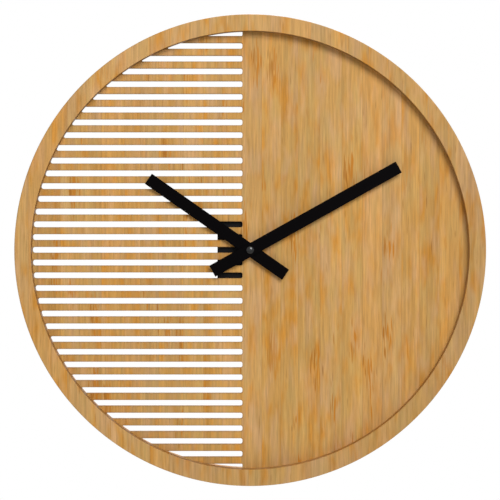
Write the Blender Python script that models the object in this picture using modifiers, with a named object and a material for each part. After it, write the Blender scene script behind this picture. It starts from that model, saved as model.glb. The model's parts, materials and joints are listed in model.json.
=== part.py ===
"""A round bamboo wall clock with a slotted dial and a quartz movement.

Every piece of the clock is an object of its own. The wall is the plane y = 0,
the clock's front faces -Y, and the origin is where the nail meets the hanger.
Sizes are in metres. A height is a distance from the wall, towards the front.
"""
import math

import bmesh
import bpy
from mathutils import Matrix, Vector

# Fits and cuts
FIT_GAP = 0.0003
SEAT_GAP = 0.0001
RUNNING_GAP = 0.00008
LAYER_GAP = 0.0003
CUT_OVERRUN = 0.001
WELD_DISTANCE = 0.000001
SHARP_ANGLE = math.radians(35)
CORNER_STEPS = 3
FINE_CORNER_STEPS = 2

# Rim
RIM_OUTER_RADIUS = 0.2000
RIM_FACE_WIDTH = 0.0141
RIM_DEPTH = 0.0360
RIM_LEDGE_WIDTH = 0.0030
RIM_FRONT_ROUNDING = 0.0010
RIM_LIP_ROUNDING = 0.0006
RIM_BACK_CHAMFER = 0.0010
RIM_STEPS = 64
ROUNDING_STEPS = 2
RIM_LIP_RADIUS = RIM_OUTER_RADIUS - RIM_FACE_WIDTH
RABBET_RADIUS = RIM_LIP_RADIUS + RIM_LEDGE_WIDTH

# Slotted dial panel
DIAL_RECESS = 0.0100
PANEL_THICKNESS = 0.0040
SLOT_PITCH = 0.01088
SLOT_HEIGHT = 0.0049
SLOT_STOP_OFFSET = 0.0066
SLOT_RIGHT_ROUNDING = 0.0015
SLOT_LEFT_ROUNDING = 0.0010
SLOT_END_SETBACK = 0.0001
LAST_SLOT_REACH = 0.0014
SLOT_LEAST_HEIGHT = 0.0025
HUB_HOLE_CLEARANCE = 0.0004
PANEL_RADIUS = RABBET_RADIUS - FIT_GAP
PANEL_FRONT = RIM_DEPTH - DIAL_RECESS - FIT_GAP
PANEL_BACK = PANEL_FRONT - PANEL_THICKNESS
SLOT_END_RADIUS = RIM_LIP_RADIUS - SLOT_END_SETBACK
LAST_SLOT_END_RADIUS = SLOT_END_RADIUS + LAST_SLOT_REACH

# Sawtooth hanger and its pocket in the rim
HANGER_LENGTH = 0.0450
HANGER_WIDTH = 0.0070
HANGER_THICKNESS = 0.0008
HANGER_FLANGE = 0.0090
HANGER_SLOPE = 0.0030
HANGER_RISE = 0.0017
TOOTH_PITCH = 0.0021
TOOTH_DEPTH = 0.0012
HANGER_EDGE_INSET = 0.0004
POCKET_DEPTH = 0.0031
POCKET_SIDE_CLEARANCE = 0.0010
POCKET_TOP_CLEARANCE = 0.0004
HANGER_SCREW_INSET = 0.0042
HANGER_SCREW_RADIUS = 0.0011
HANGER_SCREW_LENGTH = 0.0100
HANGER_SCREW_TIP = 0.0020
HANGER_SCREW_HEAD_RADIUS = 0.0023
HANGER_SCREW_HEAD_HEIGHT = 0.0011
HANGER_SCREW_HEAD_CROWN = 0.0004
SCREW_STEPS = 12
HANGER_LOW_EDGE = RABBET_RADIUS + HANGER_EDGE_INSET
HANG_RADIUS = HANGER_LOW_EDGE + TOOTH_DEPTH
HANGER_MIDDLE = HANGER_LOW_EDGE + HANGER_WIDTH / 2

# Battery cell, size AA
BATTERY_DIAMETER = 0.0142
BATTERY_LENGTH = 0.0500
BATTERY_NUB_RADIUS = 0.0026
BATTERY_NUB_LENGTH = 0.0012
BATTERY_EDGE_ROUNDING = 0.0006
BATTERY_BASE_RADIUS = 0.0045
BATTERY_BASE_LENGTH = 0.0003
BATTERY_STEPS = 24
BATTERY_RADIUS = BATTERY_DIAMETER / 2

# Movement case
MOVEMENT_WIDTH = 0.0560
CASE_DEPTH = 0.0146
CASE_CORNER = 0.0030
CASE_FRONT_WALL = 0.0014
CASE_SIDE_WALL = 0.0010
BAY_CLEARANCE = 0.0004
BAY_CORNER = 0.0012
BAY_FLOOR_WALL = 0.0012
PARTITION_WALL = 0.0012
POCKET_CORNER = 0.0010
FINGER_NOTCH_WIDTH = 0.0160
FINGER_NOTCH_DEPTH = 0.0060
FINGER_NOTCH_ROUNDING = 0.0040
COVER_THICKNESS = 0.0012
COVER_RIM_INSET = 0.0003
RUBBER_THICKNESS = 0.0008
RUBBER_WIDTH = 0.0022
CORNER_REACH_SHARE = 0.45
COVER_LOWER_CORNER = 0.0006
SNAP_HOOK_WIDTH = 0.0040
SNAP_HOOK_SETBACK = 0.0001
SNAP_NOSE_REACH = 0.0008
SNAP_NOSE_LAND = 0.0003
SNAP_NOSE_SLOPE = 0.0006
LOWER_SNAP_Y = -0.0050
UPPER_SNAP_Y = 0.0190
HALF_WIDTH = MOVEMENT_WIDTH / 2
CASE_FRONT = PANEL_BACK - SEAT_GAP - RUBBER_THICKNESS - SEAT_GAP
CASE_BACK = CASE_FRONT - CASE_DEPTH
CASE_FLOOR = CASE_FRONT - CASE_FRONT_WALL
BAY_FLOOR = CASE_FRONT - BAY_FLOOR_WALL
BAY_BOTTOM = -HALF_WIDTH + CASE_SIDE_WALL
BAY_TOP = BAY_BOTTOM + BATTERY_DIAMETER + 2 * BAY_CLEARANCE
POCKET_BOTTOM = BAY_TOP + PARTITION_WALL
POCKET_SIDE = HALF_WIDTH - CASE_SIDE_WALL
BATTERY_HEIGHT = BAY_FLOOR - FIT_GAP - BATTERY_RADIUS
BATTERY_Y = (BAY_BOTTOM + BAY_TOP) / 2
COVER_FRONT = CASE_BACK - SEAT_GAP
COVER_BACK = COVER_FRONT - COVER_THICKNESS

# Bush, washers and nut on the dial
BUSH_RADIUS = 0.0040
BUSH_FLANGE_RADIUS = 0.0056
BUSH_FLANGE_THICKNESS = 0.0006
BUSH_END_CHAMFER = 0.0003
BUSH_STAND_OUT = 0.0006
WASHER_RADIUS = 0.0060
WASHER_THICKNESS = 0.0005
NUT_ACROSS_FLATS = 0.0110
NUT_THICKNESS = 0.0022
NUT_CHAMFER_ANGLE = math.radians(25)
BUSH_STEPS = 24
WASHER_FRONT = PANEL_FRONT + SEAT_GAP + WASHER_THICKNESS
NUT_BACK = WASHER_FRONT + SEAT_GAP
NUT_FRONT = NUT_BACK + NUT_THICKNESS
BUSH_FRONT = NUT_FRONT + BUSH_STAND_OUT
BUSH_HOLE_RADIUS = BUSH_RADIUS + SEAT_GAP
COUNTERBORE_DEPTH = BUSH_FLANGE_THICKNESS + 2 * SEAT_GAP

# Arbors and tubes
HOUR_TUBE_RADIUS = 0.0025
MINUTE_ARBOR_RADIUS = 0.00165
MINUTE_SEAT_RADIUS = 0.0015
MINUTE_TIP_RADIUS = 0.00125
MINUTE_TAIL_RADIUS = 0.0012
SETTING_SHAFT_RADIUS = 0.0009
SETTING_SEAT_RADIUS = 0.0007
TRAIN_ARBOR_RADIUS = 0.00045
PIVOT_RADIUS = 0.0003
PIVOT_GAP = 0.00006
MINUTE_PIVOT_DEPTH = 0.0014
PIVOT_HOLE_DEPTH = 0.0008
ARBOR_SHOULDER = 0.0002
ARBOR_STEPS = 16
FINE_ARBOR_STEPS = 8
MINUTE_ARBOR_BORE = MINUTE_ARBOR_RADIUS + RUNNING_GAP
BUSH_BORE = HOUR_TUBE_RADIUS + RUNNING_GAP

# Hands
HAND_THICKNESS = 0.0007
HAND_EDGE_CHAMFER = 0.0001
HOUR_HAND_WIDTH = 0.0105
HOUR_HAND_REACH = 0.1057
HOUR_HAND_TAIL = 0.0367
HOUR_COLLAR_WALL = 0.0009
HOUR_COLLAR_LENGTH = 0.0008
HOUR_COLLAR_RIVET = 0.00005
MINUTE_HAND_WIDTH = 0.0107
MINUTE_HAND_REACH = 0.1446
MINUTE_HAND_TAIL = 0.0369
HAND_HOLE_STEPS = 20
HAND_SPACING = 0.0009
CAP_RADIUS = 0.0033
CAP_HEIGHT = 0.0022
CAP_WALL_HEIGHT = 0.0009
CAP_BORE_DEPTH = 0.0015
CAP_STEPS = 20
CAP_DOME_STEPS = 4
HOUR_HAND_ANGLE = math.radians(145.0)
MINUTE_HAND_ANGLE = math.radians(29.2)
HOUR_COLLAR_BACK = BUSH_FRONT + FIT_GAP
HOUR_HAND_BACK = HOUR_COLLAR_BACK + HOUR_COLLAR_LENGTH
HOUR_HAND_FRONT = HOUR_HAND_BACK + HAND_THICKNESS
HOUR_TUBE_FRONT = HOUR_HAND_FRONT + SEAT_GAP
MINUTE_HAND_BACK = HOUR_HAND_FRONT + HAND_SPACING
MINUTE_HAND_FRONT = MINUTE_HAND_BACK + HAND_THICKNESS
MINUTE_SHOULDER = MINUTE_HAND_BACK - SEAT_GAP
CAP_BACK = MINUTE_HAND_FRONT + SEAT_GAP
MINUTE_ARBOR_FRONT = CAP_BACK + CAP_BORE_DEPTH - FIT_GAP

# Tooth counts
MINUTE_PINION_TEETH = 10
SETTING_WHEEL_TEETH = 30
SETTING_PINION_TEETH = 8
HOUR_WHEEL_TEETH = 32
CENTRE_WHEEL_TEETH = 64
THIRD_PINION_TEETH = 8
THIRD_WHEEL_TEETH = 60
SECONDS_PINION_TEETH = 8
SECONDS_WHEEL_TEETH = 48
INTERMEDIATE_PINION_TEETH = 8
INTERMEDIATE_WHEEL_TEETH = 40
ROTOR_PINION_TEETH = 8

# Distances between arbors, and the directions in which they lie
SETTING_DISTANCE = 0.0106
THIRD_DISTANCE = 0.0102
INTERMEDIATE_DISTANCE = 0.0084
ROTOR_DISTANCE = 0.0072
SETTING_DIRECTION = math.radians(0)
THIRD_DIRECTION = math.radians(110)
INTERMEDIATE_DIRECTION = math.radians(200)
ROTOR_DIRECTION = math.radians(120)

# Tooth form, as shares of the module and of the tooth spacing
PINION_ADDENDUM_SHARE = 0.70
WHEEL_ADDENDUM_SHARE = 0.75
DEDENDUM_SHARE = 1.15
PINION_TIP_SHARE = 0.16
PINION_ROOT_SHARE = 0.50
HALF_SPACING_SHARE = 0.5

# Layers of the movement, from the case's front wall towards the back
MOTION_WHEEL_THICKNESS = 0.0008
TRAIN_WHEEL_THICKNESS = 0.0007
PINION_MARGIN = 0.0001
PLATE_THICKNESS = 0.0008
CENTRE_LAYER_GAP = 0.0004
PIVOT_STAND_OUT = 0.0001
HOUR_WHEEL_FRONT = CASE_FLOOR - LAYER_GAP
HOUR_WHEEL_BACK = HOUR_WHEEL_FRONT - MOTION_WHEEL_THICKNESS
SETTING_WHEEL_FRONT = HOUR_WHEEL_BACK - LAYER_GAP
SETTING_WHEEL_BACK = SETTING_WHEEL_FRONT - MOTION_WHEEL_THICKNESS
MINUTE_PINION_FRONT = SETTING_WHEEL_FRONT + PINION_MARGIN
MINUTE_PINION_BACK = SETTING_WHEEL_BACK - PINION_MARGIN
CENTRE_WHEEL_FRONT = MINUTE_PINION_BACK - SEAT_GAP
CENTRE_WHEEL_BACK = CENTRE_WHEEL_FRONT - TRAIN_WHEEL_THICKNESS
MINUTE_ARBOR_BACK = CENTRE_WHEEL_BACK - ARBOR_SHOULDER
MIDDLE_PLATE_FRONT = MINUTE_ARBOR_BACK - CENTRE_LAYER_GAP
MIDDLE_PLATE_BACK = MIDDLE_PLATE_FRONT - PLATE_THICKNESS
THIRD_WHEEL_FRONT = MIDDLE_PLATE_BACK - LAYER_GAP
THIRD_WHEEL_BACK = THIRD_WHEEL_FRONT - TRAIN_WHEEL_THICKNESS
SECONDS_WHEEL_FRONT = THIRD_WHEEL_BACK - LAYER_GAP - PINION_MARGIN
SECONDS_WHEEL_BACK = SECONDS_WHEEL_FRONT - TRAIN_WHEEL_THICKNESS
INTERMEDIATE_WHEEL_FRONT = SECONDS_WHEEL_BACK - LAYER_GAP - PINION_MARGIN
INTERMEDIATE_WHEEL_BACK = INTERMEDIATE_WHEEL_FRONT - TRAIN_WHEEL_THICKNESS
BRIDGE_FRONT = INTERMEDIATE_WHEEL_BACK - LAYER_GAP
BRIDGE_BACK = BRIDGE_FRONT - PLATE_THICKNESS
PIVOT_BACK = BRIDGE_BACK - PIVOT_STAND_OUT

# Posts that carry the two plates and the circuit board
POST_RADIUS = 0.0019
POST_NECK_RADIUS = 0.0013
POST_PIN_RADIUS = 0.0008
POST_ROOT = 0.0004
POST_STEPS = 10
PLATE_MARGIN = 0.0012
PLATE_CORNER = 0.0020
UPPER_RIGHT_POST = (0.0130, 0.0150)
LOWER_RIGHT_POST = (0.0195, -0.0066)
UPPER_LEFT_POST = (-0.0175, 0.0130)
LOWER_LEFT_POST = (-0.0180, -0.0066)
PLATE_POSTS = (UPPER_RIGHT_POST, LOWER_RIGHT_POST, UPPER_LEFT_POST, LOWER_LEFT_POST)
BOARD_POST_RADIUS = 0.0014
BOARD_POSTS = ((0.0246, 0.0000), (0.0246, 0.0200))

# Stepping motor
STATOR_THICKNESS = 0.0008
ROTOR_MAGNET_RADIUS = 0.0026
ROTOR_MAGNET_LENGTH = 0.0018
ROTOR_SEAT_RADIUS = 0.00075
STATOR_AIR_GAP = 0.0004
STATOR_RING_WIDTH = 0.0022
STATOR_PAD_HEIGHT = 0.0040
STATOR_ARC_STEPS = 10
ROTOR_BOSS_RADIUS = 0.0014
ROTOR_BOSS_HEIGHT = 0.0013
COIL_Y = 0.0215
COIL_LEFT = -0.0180
COIL_RIGHT = 0.0040
COIL_OUTER_RADIUS = 0.0023
COIL_INNER_RADIUS = 0.0019
BOBBIN_FLANGE_RADIUS = 0.0025
BOBBIN_FLANGE_THICKNESS = 0.0006
BOBBIN_BORE_RADIUS = 0.0016
CORE_WIDTH = 0.0026
CORE_THICKNESS = 0.0008
CORE_OVERHANG = 0.0040
CORE_PIN_RADIUS = 0.0006
COIL_STEPS = 14
STATOR_FRONT = BRIDGE_BACK - LAYER_GAP
STATOR_BACK = STATOR_FRONT - STATOR_THICKNESS
MAGNET_FRONT = STATOR_FRONT
MAGNET_BACK = MAGNET_FRONT - ROTOR_MAGNET_LENGTH
CORE_FRONT = STATOR_BACK - SEAT_GAP
CORE_BACK = CORE_FRONT - CORE_THICKNESS
CORE_MIDDLE = (CORE_FRONT + CORE_BACK) / 2
CORE_PIN_OFFSET = (CORE_OVERHANG + LAYER_GAP) / 2
CORE_POSTS = ((COIL_LEFT - CORE_PIN_OFFSET, COIL_Y), (COIL_RIGHT + CORE_PIN_OFFSET, COIL_Y))

# Circuit board
BOARD_THICKNESS = 0.0008
BOARD_LEFT = 0.0140
BOARD_TOP = 0.0245
BOARD_CORNER = 0.0008
CHIP_RADIUS = 0.0028
CHIP_HEIGHT = 0.0011
CHIP_Y = 0.0085
CHIP_X = 0.0190
CRYSTAL_RADIUS = 0.0009
CRYSTAL_LENGTH = 0.0060
CRYSTAL_X = 0.0180
CRYSTAL_Y = 0.0180
CHIP_STEPS = 12
BOARD_FRONT = STATOR_FRONT
BOARD_BACK = BOARD_FRONT - BOARD_THICKNESS
BOARD_MIDDLE = (BOARD_FRONT + BOARD_BACK) / 2

# Contacts
CONTACT_THICKNESS = 0.0003
CONTACT_WIDTH = 0.0090
CONTACT_HEIGHT = 0.0100
CONTACT_CORNER = 0.0010
TAIL_WIDTH = 0.0024
TAIL_LENGTH = 0.0040
TAIL_NOTCH_CLEARANCE = 0.0004
LEAD_HEIGHT = 0.0020
LEAD_RIGHT = 0.0180
SPRING_WIRE_RADIUS = 0.00025
SPRING_LARGE_RADIUS = 0.0048
SPRING_SMALL_RADIUS = 0.0024
SPRING_TURNS = 3
SPRING_POINTS_A_TURN = 8
CONTACT_FACE = POCKET_SIDE - SEAT_GAP - CONTACT_THICKNESS
BOARD_RIGHT = CONTACT_FACE - LAYER_GAP
BOARD_BOTTOM = POCKET_BOTTOM + FIT_GAP + CONTACT_THICKNESS + SEAT_GAP

# Setting knob
KNOB_RADIUS = 0.0060
KNOB_THICKNESS = 0.0024
KNOB_FLUTES = 18
KNOB_FLUTE_DEPTH = 0.0003
KNOB_LAND_SHARE = 0.25
KNOB_BORE_DEPTH = 0.0017
KNOB_WELL_RADIUS = 0.0042
KNOB_WELL_DEPTH = 0.0007
KNOB_GUARD_WALL = 0.0009
KNOB_GUARD_CLEARANCE = 0.0010
KNOB_GUARD_HEIGHT = 0.0012
KNOB_FRONT = COVER_BACK - LAYER_GAP
KNOB_BACK = KNOB_FRONT - KNOB_THICKNESS
KNOB_SEAT_END = KNOB_FRONT - KNOB_BORE_DEPTH + SEAT_GAP


def polar(radius, angle, centre=(0, 0)):
    return (centre[0] + radius * math.cos(angle), centre[1] + radius * math.sin(angle))


def direction(start, end):
    return math.atan2(end[1] - start[1], end[0] - start[0])


CENTRE = (0, 0)
SETTING_AT = polar(SETTING_DISTANCE, SETTING_DIRECTION)
THIRD_AT = polar(THIRD_DISTANCE, THIRD_DIRECTION)
INTERMEDIATE_AT = polar(INTERMEDIATE_DISTANCE, INTERMEDIATE_DIRECTION)
ROTOR_AT = polar(ROTOR_DISTANCE, ROTOR_DIRECTION, INTERMEDIATE_AT)


def empty_the_scene():
    for obj in list(bpy.data.objects):
        bpy.data.objects.remove(obj)


def new_collection(name):
    group = bpy.data.collections.new(name)
    bpy.context.scene.collection.children.link(group)
    return group


def finish(name, colour, roughness, metallic=0.0):
    material = bpy.data.materials.new(name)
    material.use_nodes = True
    shader = material.node_tree.nodes["Principled BSDF"]
    shader.inputs["Base Color"].default_value = (*colour, 1)
    shader.inputs["Roughness"].default_value = roughness
    shader.inputs["Metallic"].default_value = metallic
    material.diffuse_color = (*colour, 1)
    return material


empty_the_scene()
PARTS = new_collection("wall_clock")
CUTTERS = new_collection("wall_clock_cutters")

# The dial's frame: x to the right, y up, z from the wall to the front.
FACE = bpy.data.objects.new("dial_axis", None)
FACE.location = (0, 0, -HANG_RADIUS)
FACE.rotation_euler = (math.pi / 2, 0, 0)
PARTS.objects.link(FACE)


def placed(name, data, at=CENTRE, height=0, turn=(0, 0, 0)):
    """Make an object in the dial's frame, at a point and a height above the wall."""
    obj = bpy.data.objects.new(name, data)
    PARTS.objects.link(obj)
    obj.parent = FACE
    obj.location = (at[0], at[1], height)
    obj.rotation_euler = turn
    return obj


def as_mesh(obj):
    """Turn a curve or a modified object into one plain welded mesh, shaded smooth."""
    bpy.context.view_layer.update()
    evaluated = obj.evaluated_get(bpy.context.evaluated_depsgraph_get())
    mesh = bpy.data.meshes.new_from_object(evaluated)
    welded = bmesh.new()
    welded.from_mesh(mesh)
    bmesh.ops.remove_doubles(welded, verts=welded.verts, dist=WELD_DISTANCE)
    welded.to_mesh(mesh)
    welded.free()
    mesh.shade_smooth()
    mesh.set_sharp_from_angle(angle=SHARP_ANGLE)
    name, place = obj.name, obj.matrix_world.copy()
    bpy.data.objects.remove(obj)
    new = bpy.data.objects.new(name, mesh)
    PARTS.objects.link(new)
    new.parent = FACE
    bpy.context.view_layer.update()
    new.matrix_world = place
    return new


def plate(name, loops, back, front, at=CENTRE, turn=(0, 0, 0)):
    """A flat piece with the given outlines, from one height to another."""
    curve = bpy.data.curves.new(name, "CURVE")
    curve.dimensions = "2D"
    curve.fill_mode = "BOTH"
    curve.extrude = (front - back) / 2
    for loop in loops:
        spline = curve.splines.new("POLY")
        spline.points.add(len(loop) - 1)
        for point, (x, y) in zip(spline.points, loop):
            point.co = (x, y, 0, 1)
        spline.use_cyclic_u = True
    return as_mesh(placed(name, curve, at, (front + back) / 2, turn))


def turned(name, profile, steps, at=CENTRE, height=0, turn=(0, 0, 0)):
    """A turned piece. Its profile of (radius, height) runs from its front down its outer side."""
    edges = [(i, i + 1) for i in range(len(profile) - 1)]
    if profile[0][0] > 0:
        edges.append((len(profile) - 1, 0))
    mesh = bpy.data.meshes.new(name)
    mesh.from_pydata([(radius, 0, z) for radius, z in profile], edges, [])
    obj = placed(name, mesh, at, height, turn)
    screw = obj.modifiers.new("Turn", "SCREW")
    screw.steps = steps
    screw.render_steps = steps
    screw.use_merge_vertices = True
    screw.merge_threshold = WELD_DISTANCE
    return as_mesh(obj)


def box(name, low, high):
    """A box between two opposite corners in the dial's frame."""
    size = [b - a for a, b in zip(low, high)]
    bpy.ops.mesh.primitive_cube_add(size=1)
    obj = bpy.context.object
    obj.name = name
    for group in list(obj.users_collection):
        group.objects.unlink(obj)
    PARTS.objects.link(obj)
    obj.data.transform(Matrix.Diagonal((*size, 1)))
    obj.parent = FACE
    obj.location = [(a + b) / 2 for a, b in zip(low, high)]
    return obj


def combine(base, operation, *tools):
    """Cut the tools from a piece, join them to it or keep what they share with it."""
    for tool in tools:
        PARTS.objects.unlink(tool)
        CUTTERS.objects.link(tool)
        tool.hide_render = True
        tool.display_type = "WIRE"
        step = base.modifiers.new(tool.name, "BOOLEAN")
        step.operation = operation
        step.solver = "EXACT"
        step.object = tool
    return base


def dress(obj, material):
    obj.data.materials.clear()
    obj.data.materials.append(material)
    return obj


def circle(radius, steps, centre=CENTRE):
    return [polar(radius, 2 * math.pi * i / steps, centre) for i in range(steps)]


def rounded(corners, radii, steps=CORNER_STEPS):
    """A closed outline with each corner rounded by its own radius."""
    points = []
    for i, corner in enumerate(corners):
        here = Vector(corner)
        before = Vector(corners[i - 1]) - here
        after = Vector(corners[(i + 1) % len(corners)]) - here
        half = before.angle(after) / 2
        reach = CORNER_REACH_SHARE * min(before.length, after.length)
        radius = min(radii[i], reach * math.tan(half))
        if radius <= 0:
            points.append(here)
            continue
        before.normalize()
        after.normalize()
        centre = here + (before + after).normalized() * radius / math.sin(half)
        first = here + before * radius / math.tan(half) - centre
        last = here + after * radius / math.tan(half) - centre
        sweep = first.angle(last)
        for step in range(steps + 1):
            share = step / steps
            spoke = first * math.sin((1 - share) * sweep) + last * math.sin(share * sweep)
            points.append(centre + spoke / math.sin(sweep))
    return [tuple(point) for point in points]


def rounded_box(low, high, radius, steps=CORNER_STEPS):
    corners = [low, (high[0], low[1]), high, (low[0], high[1])]
    return rounded(corners, [radius] * len(corners), steps)


# Teeth


def toothed(teeth, corners, phase):
    spacing = 2 * math.pi / teeth
    return [
        polar(radius, phase + (tooth + share) * spacing)
        for tooth in range(teeth)
        for share, radius in corners
    ]


def tooth_module(distance, teeth, mate_teeth):
    return 2 * distance / (teeth + mate_teeth)


def pinion_loop(teeth, module, phase=0.0):
    """A pinion's outline: each leaf narrows from its root to its tip."""
    tip = module * (teeth / 2 + PINION_ADDENDUM_SHARE)
    root = module * (teeth / 2 - DEDENDUM_SHARE)
    half_tip, half_root = PINION_TIP_SHARE / 2, PINION_ROOT_SHARE / 2
    corners = ((-half_root, root), (-half_tip, tip), (half_tip, tip), (half_root, root))
    return toothed(teeth, corners, phase)


def wheel_loop(teeth, module, phase=0.0):
    """A wheel's outline: pointed teeth with a V between each two."""
    tip = module * (teeth / 2 + WHEEL_ADDENDUM_SHARE)
    root = module * (teeth / 2 - DEDENDUM_SHARE)
    return toothed(teeth, ((-HALF_SPACING_SHARE, root), (0, tip)), phase)


def meshed_phase(line, phase, teeth, mate_teeth):
    """Turn a mate so that its gap meets a tooth on the line between the two arbors."""
    lead = (phase - line) * teeth / (2 * math.pi)
    return line + math.pi + (HALF_SPACING_SHARE - lead) * 2 * math.pi / mate_teeth


def wheel_on_arbor(name, at, wheel, wheel_span, pinion, pinion_span, arbor):
    """A wheel, its pinion and its arbor, moulded in one piece."""
    body = plate(name, [wheel], *wheel_span, at)
    leaves = plate(name + "_leaves", [pinion], *pinion_span, at)
    staff = turned(name + "_staff", arbor, FINE_ARBOR_STEPS, at)
    return combine(body, "UNION", leaves, staff)


def stepped_arbor(front, front_shoulder, back_shoulder, back, radius=TRAIN_ARBOR_RADIUS):
    """The profile of an arbor with a thin pivot at each end."""
    return [
        (0, front), (PIVOT_RADIUS, front), (PIVOT_RADIUS, front_shoulder), (radius, front_shoulder),
        (radius, back_shoulder), (PIVOT_RADIUS, back_shoulder), (PIVOT_RADIUS, back), (0, back)]


# Rim and dial


def quarter(centre_radius, centre_height, rounding, start):
    """Points of a quarter circle in a turned profile, going clockwise from an angle."""
    angles = [start - math.pi / 2 * i / ROUNDING_STEPS for i in range(ROUNDING_STEPS + 1)]
    return [polar(rounding, angle, (centre_radius, centre_height)) for angle in angles]


def build_rim(material):
    lip_round = quarter(RIM_LIP_RADIUS + RIM_LIP_ROUNDING, RIM_DEPTH - RIM_LIP_ROUNDING,
                        RIM_LIP_ROUNDING, math.pi)
    outer_round = quarter(RIM_OUTER_RADIUS - RIM_FRONT_ROUNDING, RIM_DEPTH - RIM_FRONT_ROUNDING,
                          RIM_FRONT_ROUNDING, math.pi / 2)
    ledge = RIM_DEPTH - DIAL_RECESS
    profile = lip_round + outer_round + [
        (RIM_OUTER_RADIUS, RIM_BACK_CHAMFER), (RIM_OUTER_RADIUS - RIM_BACK_CHAMFER, 0),
        (RABBET_RADIUS, 0), (RABBET_RADIUS, ledge), (RIM_LIP_RADIUS, ledge)]
    rim = turned("rim", profile, RIM_STEPS)
    half = HANGER_LENGTH / 2 + POCKET_SIDE_CLEARANCE
    top = HANGER_LOW_EDGE + HANGER_WIDTH + POCKET_TOP_CLEARANCE
    pocket = box("hanger_pocket", (-half, RABBET_RADIUS - half, -CUT_OVERRUN),
                 (half, top, POCKET_DEPTH))
    holes = [
        turned("hanger_screw_hole_" + side, [
            (0, POCKET_DEPTH + HANGER_SCREW_LENGTH),
            (HANGER_SCREW_RADIUS + SEAT_GAP, POCKET_DEPTH + HANGER_SCREW_LENGTH),
            (HANGER_SCREW_RADIUS + SEAT_GAP, POCKET_DEPTH - CUT_OVERRUN),
            (0, POCKET_DEPTH - CUT_OVERRUN)], SCREW_STEPS, (x, HANGER_MIDDLE))
        for side, x in hanger_screws()]
    return dress(combine(rim, "DIFFERENCE", pocket, *holes), material)


def slot_outline(row):
    """One slot: straight to the right, and following the rim's lip to the left."""
    low = row * SLOT_PITCH - SLOT_HEIGHT / 2
    high = row * SLOT_PITCH + SLOT_HEIGHT / 2
    inner, outer = (low, high) if row >= 0 else (high, low)
    stop = -SLOT_STOP_OFFSET
    last = math.hypot(stop, outer) >= SLOT_END_RADIUS
    end_radius = LAST_SLOT_END_RADIUS if last else SLOT_END_RADIUS

    def on_end_circle(y):
        return (-math.sqrt(end_radius ** 2 - y ** 2), y)

    right = SLOT_RIGHT_ROUNDING
    left = SLOT_LEFT_ROUNDING
    if math.hypot(stop, outer) < end_radius:
        corners = [(stop, inner), (stop, outer), on_end_circle(outer), on_end_circle(inner)]
        return rounded(corners, [right, right, left, left], FINE_CORNER_STEPS)
    start = on_end_circle(inner)
    rise = math.copysign(math.sqrt(end_radius ** 2 - stop ** 2), outer)
    angles = direction(CENTRE, start), direction(CENTRE, (stop, rise))
    between = [
        polar(end_radius, angles[1] + (angles[0] - angles[1]) * i / ROUNDING_STEPS)
        for i in range(1, ROUNDING_STEPS)]
    corners = [(stop, inner), (stop, rise), *between, start]
    return rounded(corners, [left, left] + [0] * len(between) + [left], FINE_CORNER_STEPS)


def slot_rows():
    room = SLOT_END_RADIUS - SLOT_LEAST_HEIGHT + SLOT_HEIGHT / 2
    count = int(room / SLOT_PITCH)
    return range(-count, count + 1)


def build_panel(material):
    loops = [circle(PANEL_RADIUS, RIM_STEPS), circle(BUSH_RADIUS + HUB_HOLE_CLEARANCE, BUSH_STEPS)]
    loops += [slot_outline(row) for row in slot_rows()]
    return dress(plate("dial_panel", loops, PANEL_BACK, PANEL_FRONT), material)


# Hanger


def hanger_screws():
    x = HANGER_LENGTH / 2 - HANGER_SCREW_INSET
    return (("left", -x), ("right", x))


def build_hanger(steel):
    half = HANGER_LENGTH / 2
    flange = half - HANGER_FLANGE
    middle = flange - HANGER_SLOPE
    seat = POCKET_DEPTH - SEAT_GAP
    path = [(-half, 0), (-flange, 0), (-middle, HANGER_RISE),
            (middle, HANGER_RISE), (flange, 0), (half, 0)]
    front = [(x, seat - rise) for x, rise in path]
    back = [(x, seat - HANGER_THICKNESS - rise) for x, rise in reversed(path)]
    strip = plate("hanger_plate", [front + back], -HANGER_WIDTH / 2, HANGER_WIDTH / 2,
                  (0, HANGER_MIDDLE), (math.pi / 2, 0, 0))
    teeth = int(2 * middle / TOOTH_PITCH / 2) * 2 - 1
    zigzag = [((i / 2 - teeth / 2) * TOOTH_PITCH, HANG_RADIUS if i % 2 else HANGER_LOW_EDGE)
              for i in range(2 * teeth + 1)]
    low = HANGER_LOW_EDGE - CUT_OVERRUN
    cutter = plate("hanger_teeth", [[(zigzag[0][0], low), *zigzag, (zigzag[-1][0], low)]],
                   -CUT_OVERRUN, POCKET_DEPTH + CUT_OVERRUN)
    holes = [
        turned("hanger_hole_" + side, [
            (0, POCKET_DEPTH), (HANGER_SCREW_RADIUS + FIT_GAP, POCKET_DEPTH),
            (HANGER_SCREW_RADIUS + FIT_GAP, -CUT_OVERRUN), (0, -CUT_OVERRUN)],
            SCREW_STEPS, (x, HANGER_MIDDLE))
        for side, x in hanger_screws()]
    dress(combine(strip, "DIFFERENCE", cutter, *holes), steel)
    for side, x in hanger_screws():
        build_hanger_screw("hanger_screw_" + side, x, steel)


def build_hanger_screw(name, x, material):
    head_front = POCKET_DEPTH - SEAT_GAP - HANGER_THICKNESS - SEAT_GAP
    head_back = head_front - HANGER_SCREW_HEAD_HEIGHT
    tip = head_front + HANGER_SCREW_LENGTH
    profile = [
        (0, tip), (HANGER_SCREW_RADIUS, tip - HANGER_SCREW_TIP), (HANGER_SCREW_RADIUS, head_front),
        (HANGER_SCREW_HEAD_RADIUS, head_front),
        (HANGER_SCREW_HEAD_RADIUS, head_back + HANGER_SCREW_HEAD_CROWN),
        (HANGER_SCREW_HEAD_RADIUS - HANGER_SCREW_HEAD_CROWN, head_back), (0, head_back)]
    return dress(turned(name, profile, SCREW_STEPS, (x, HANGER_MIDDLE)), material)


# Movement case


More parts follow.
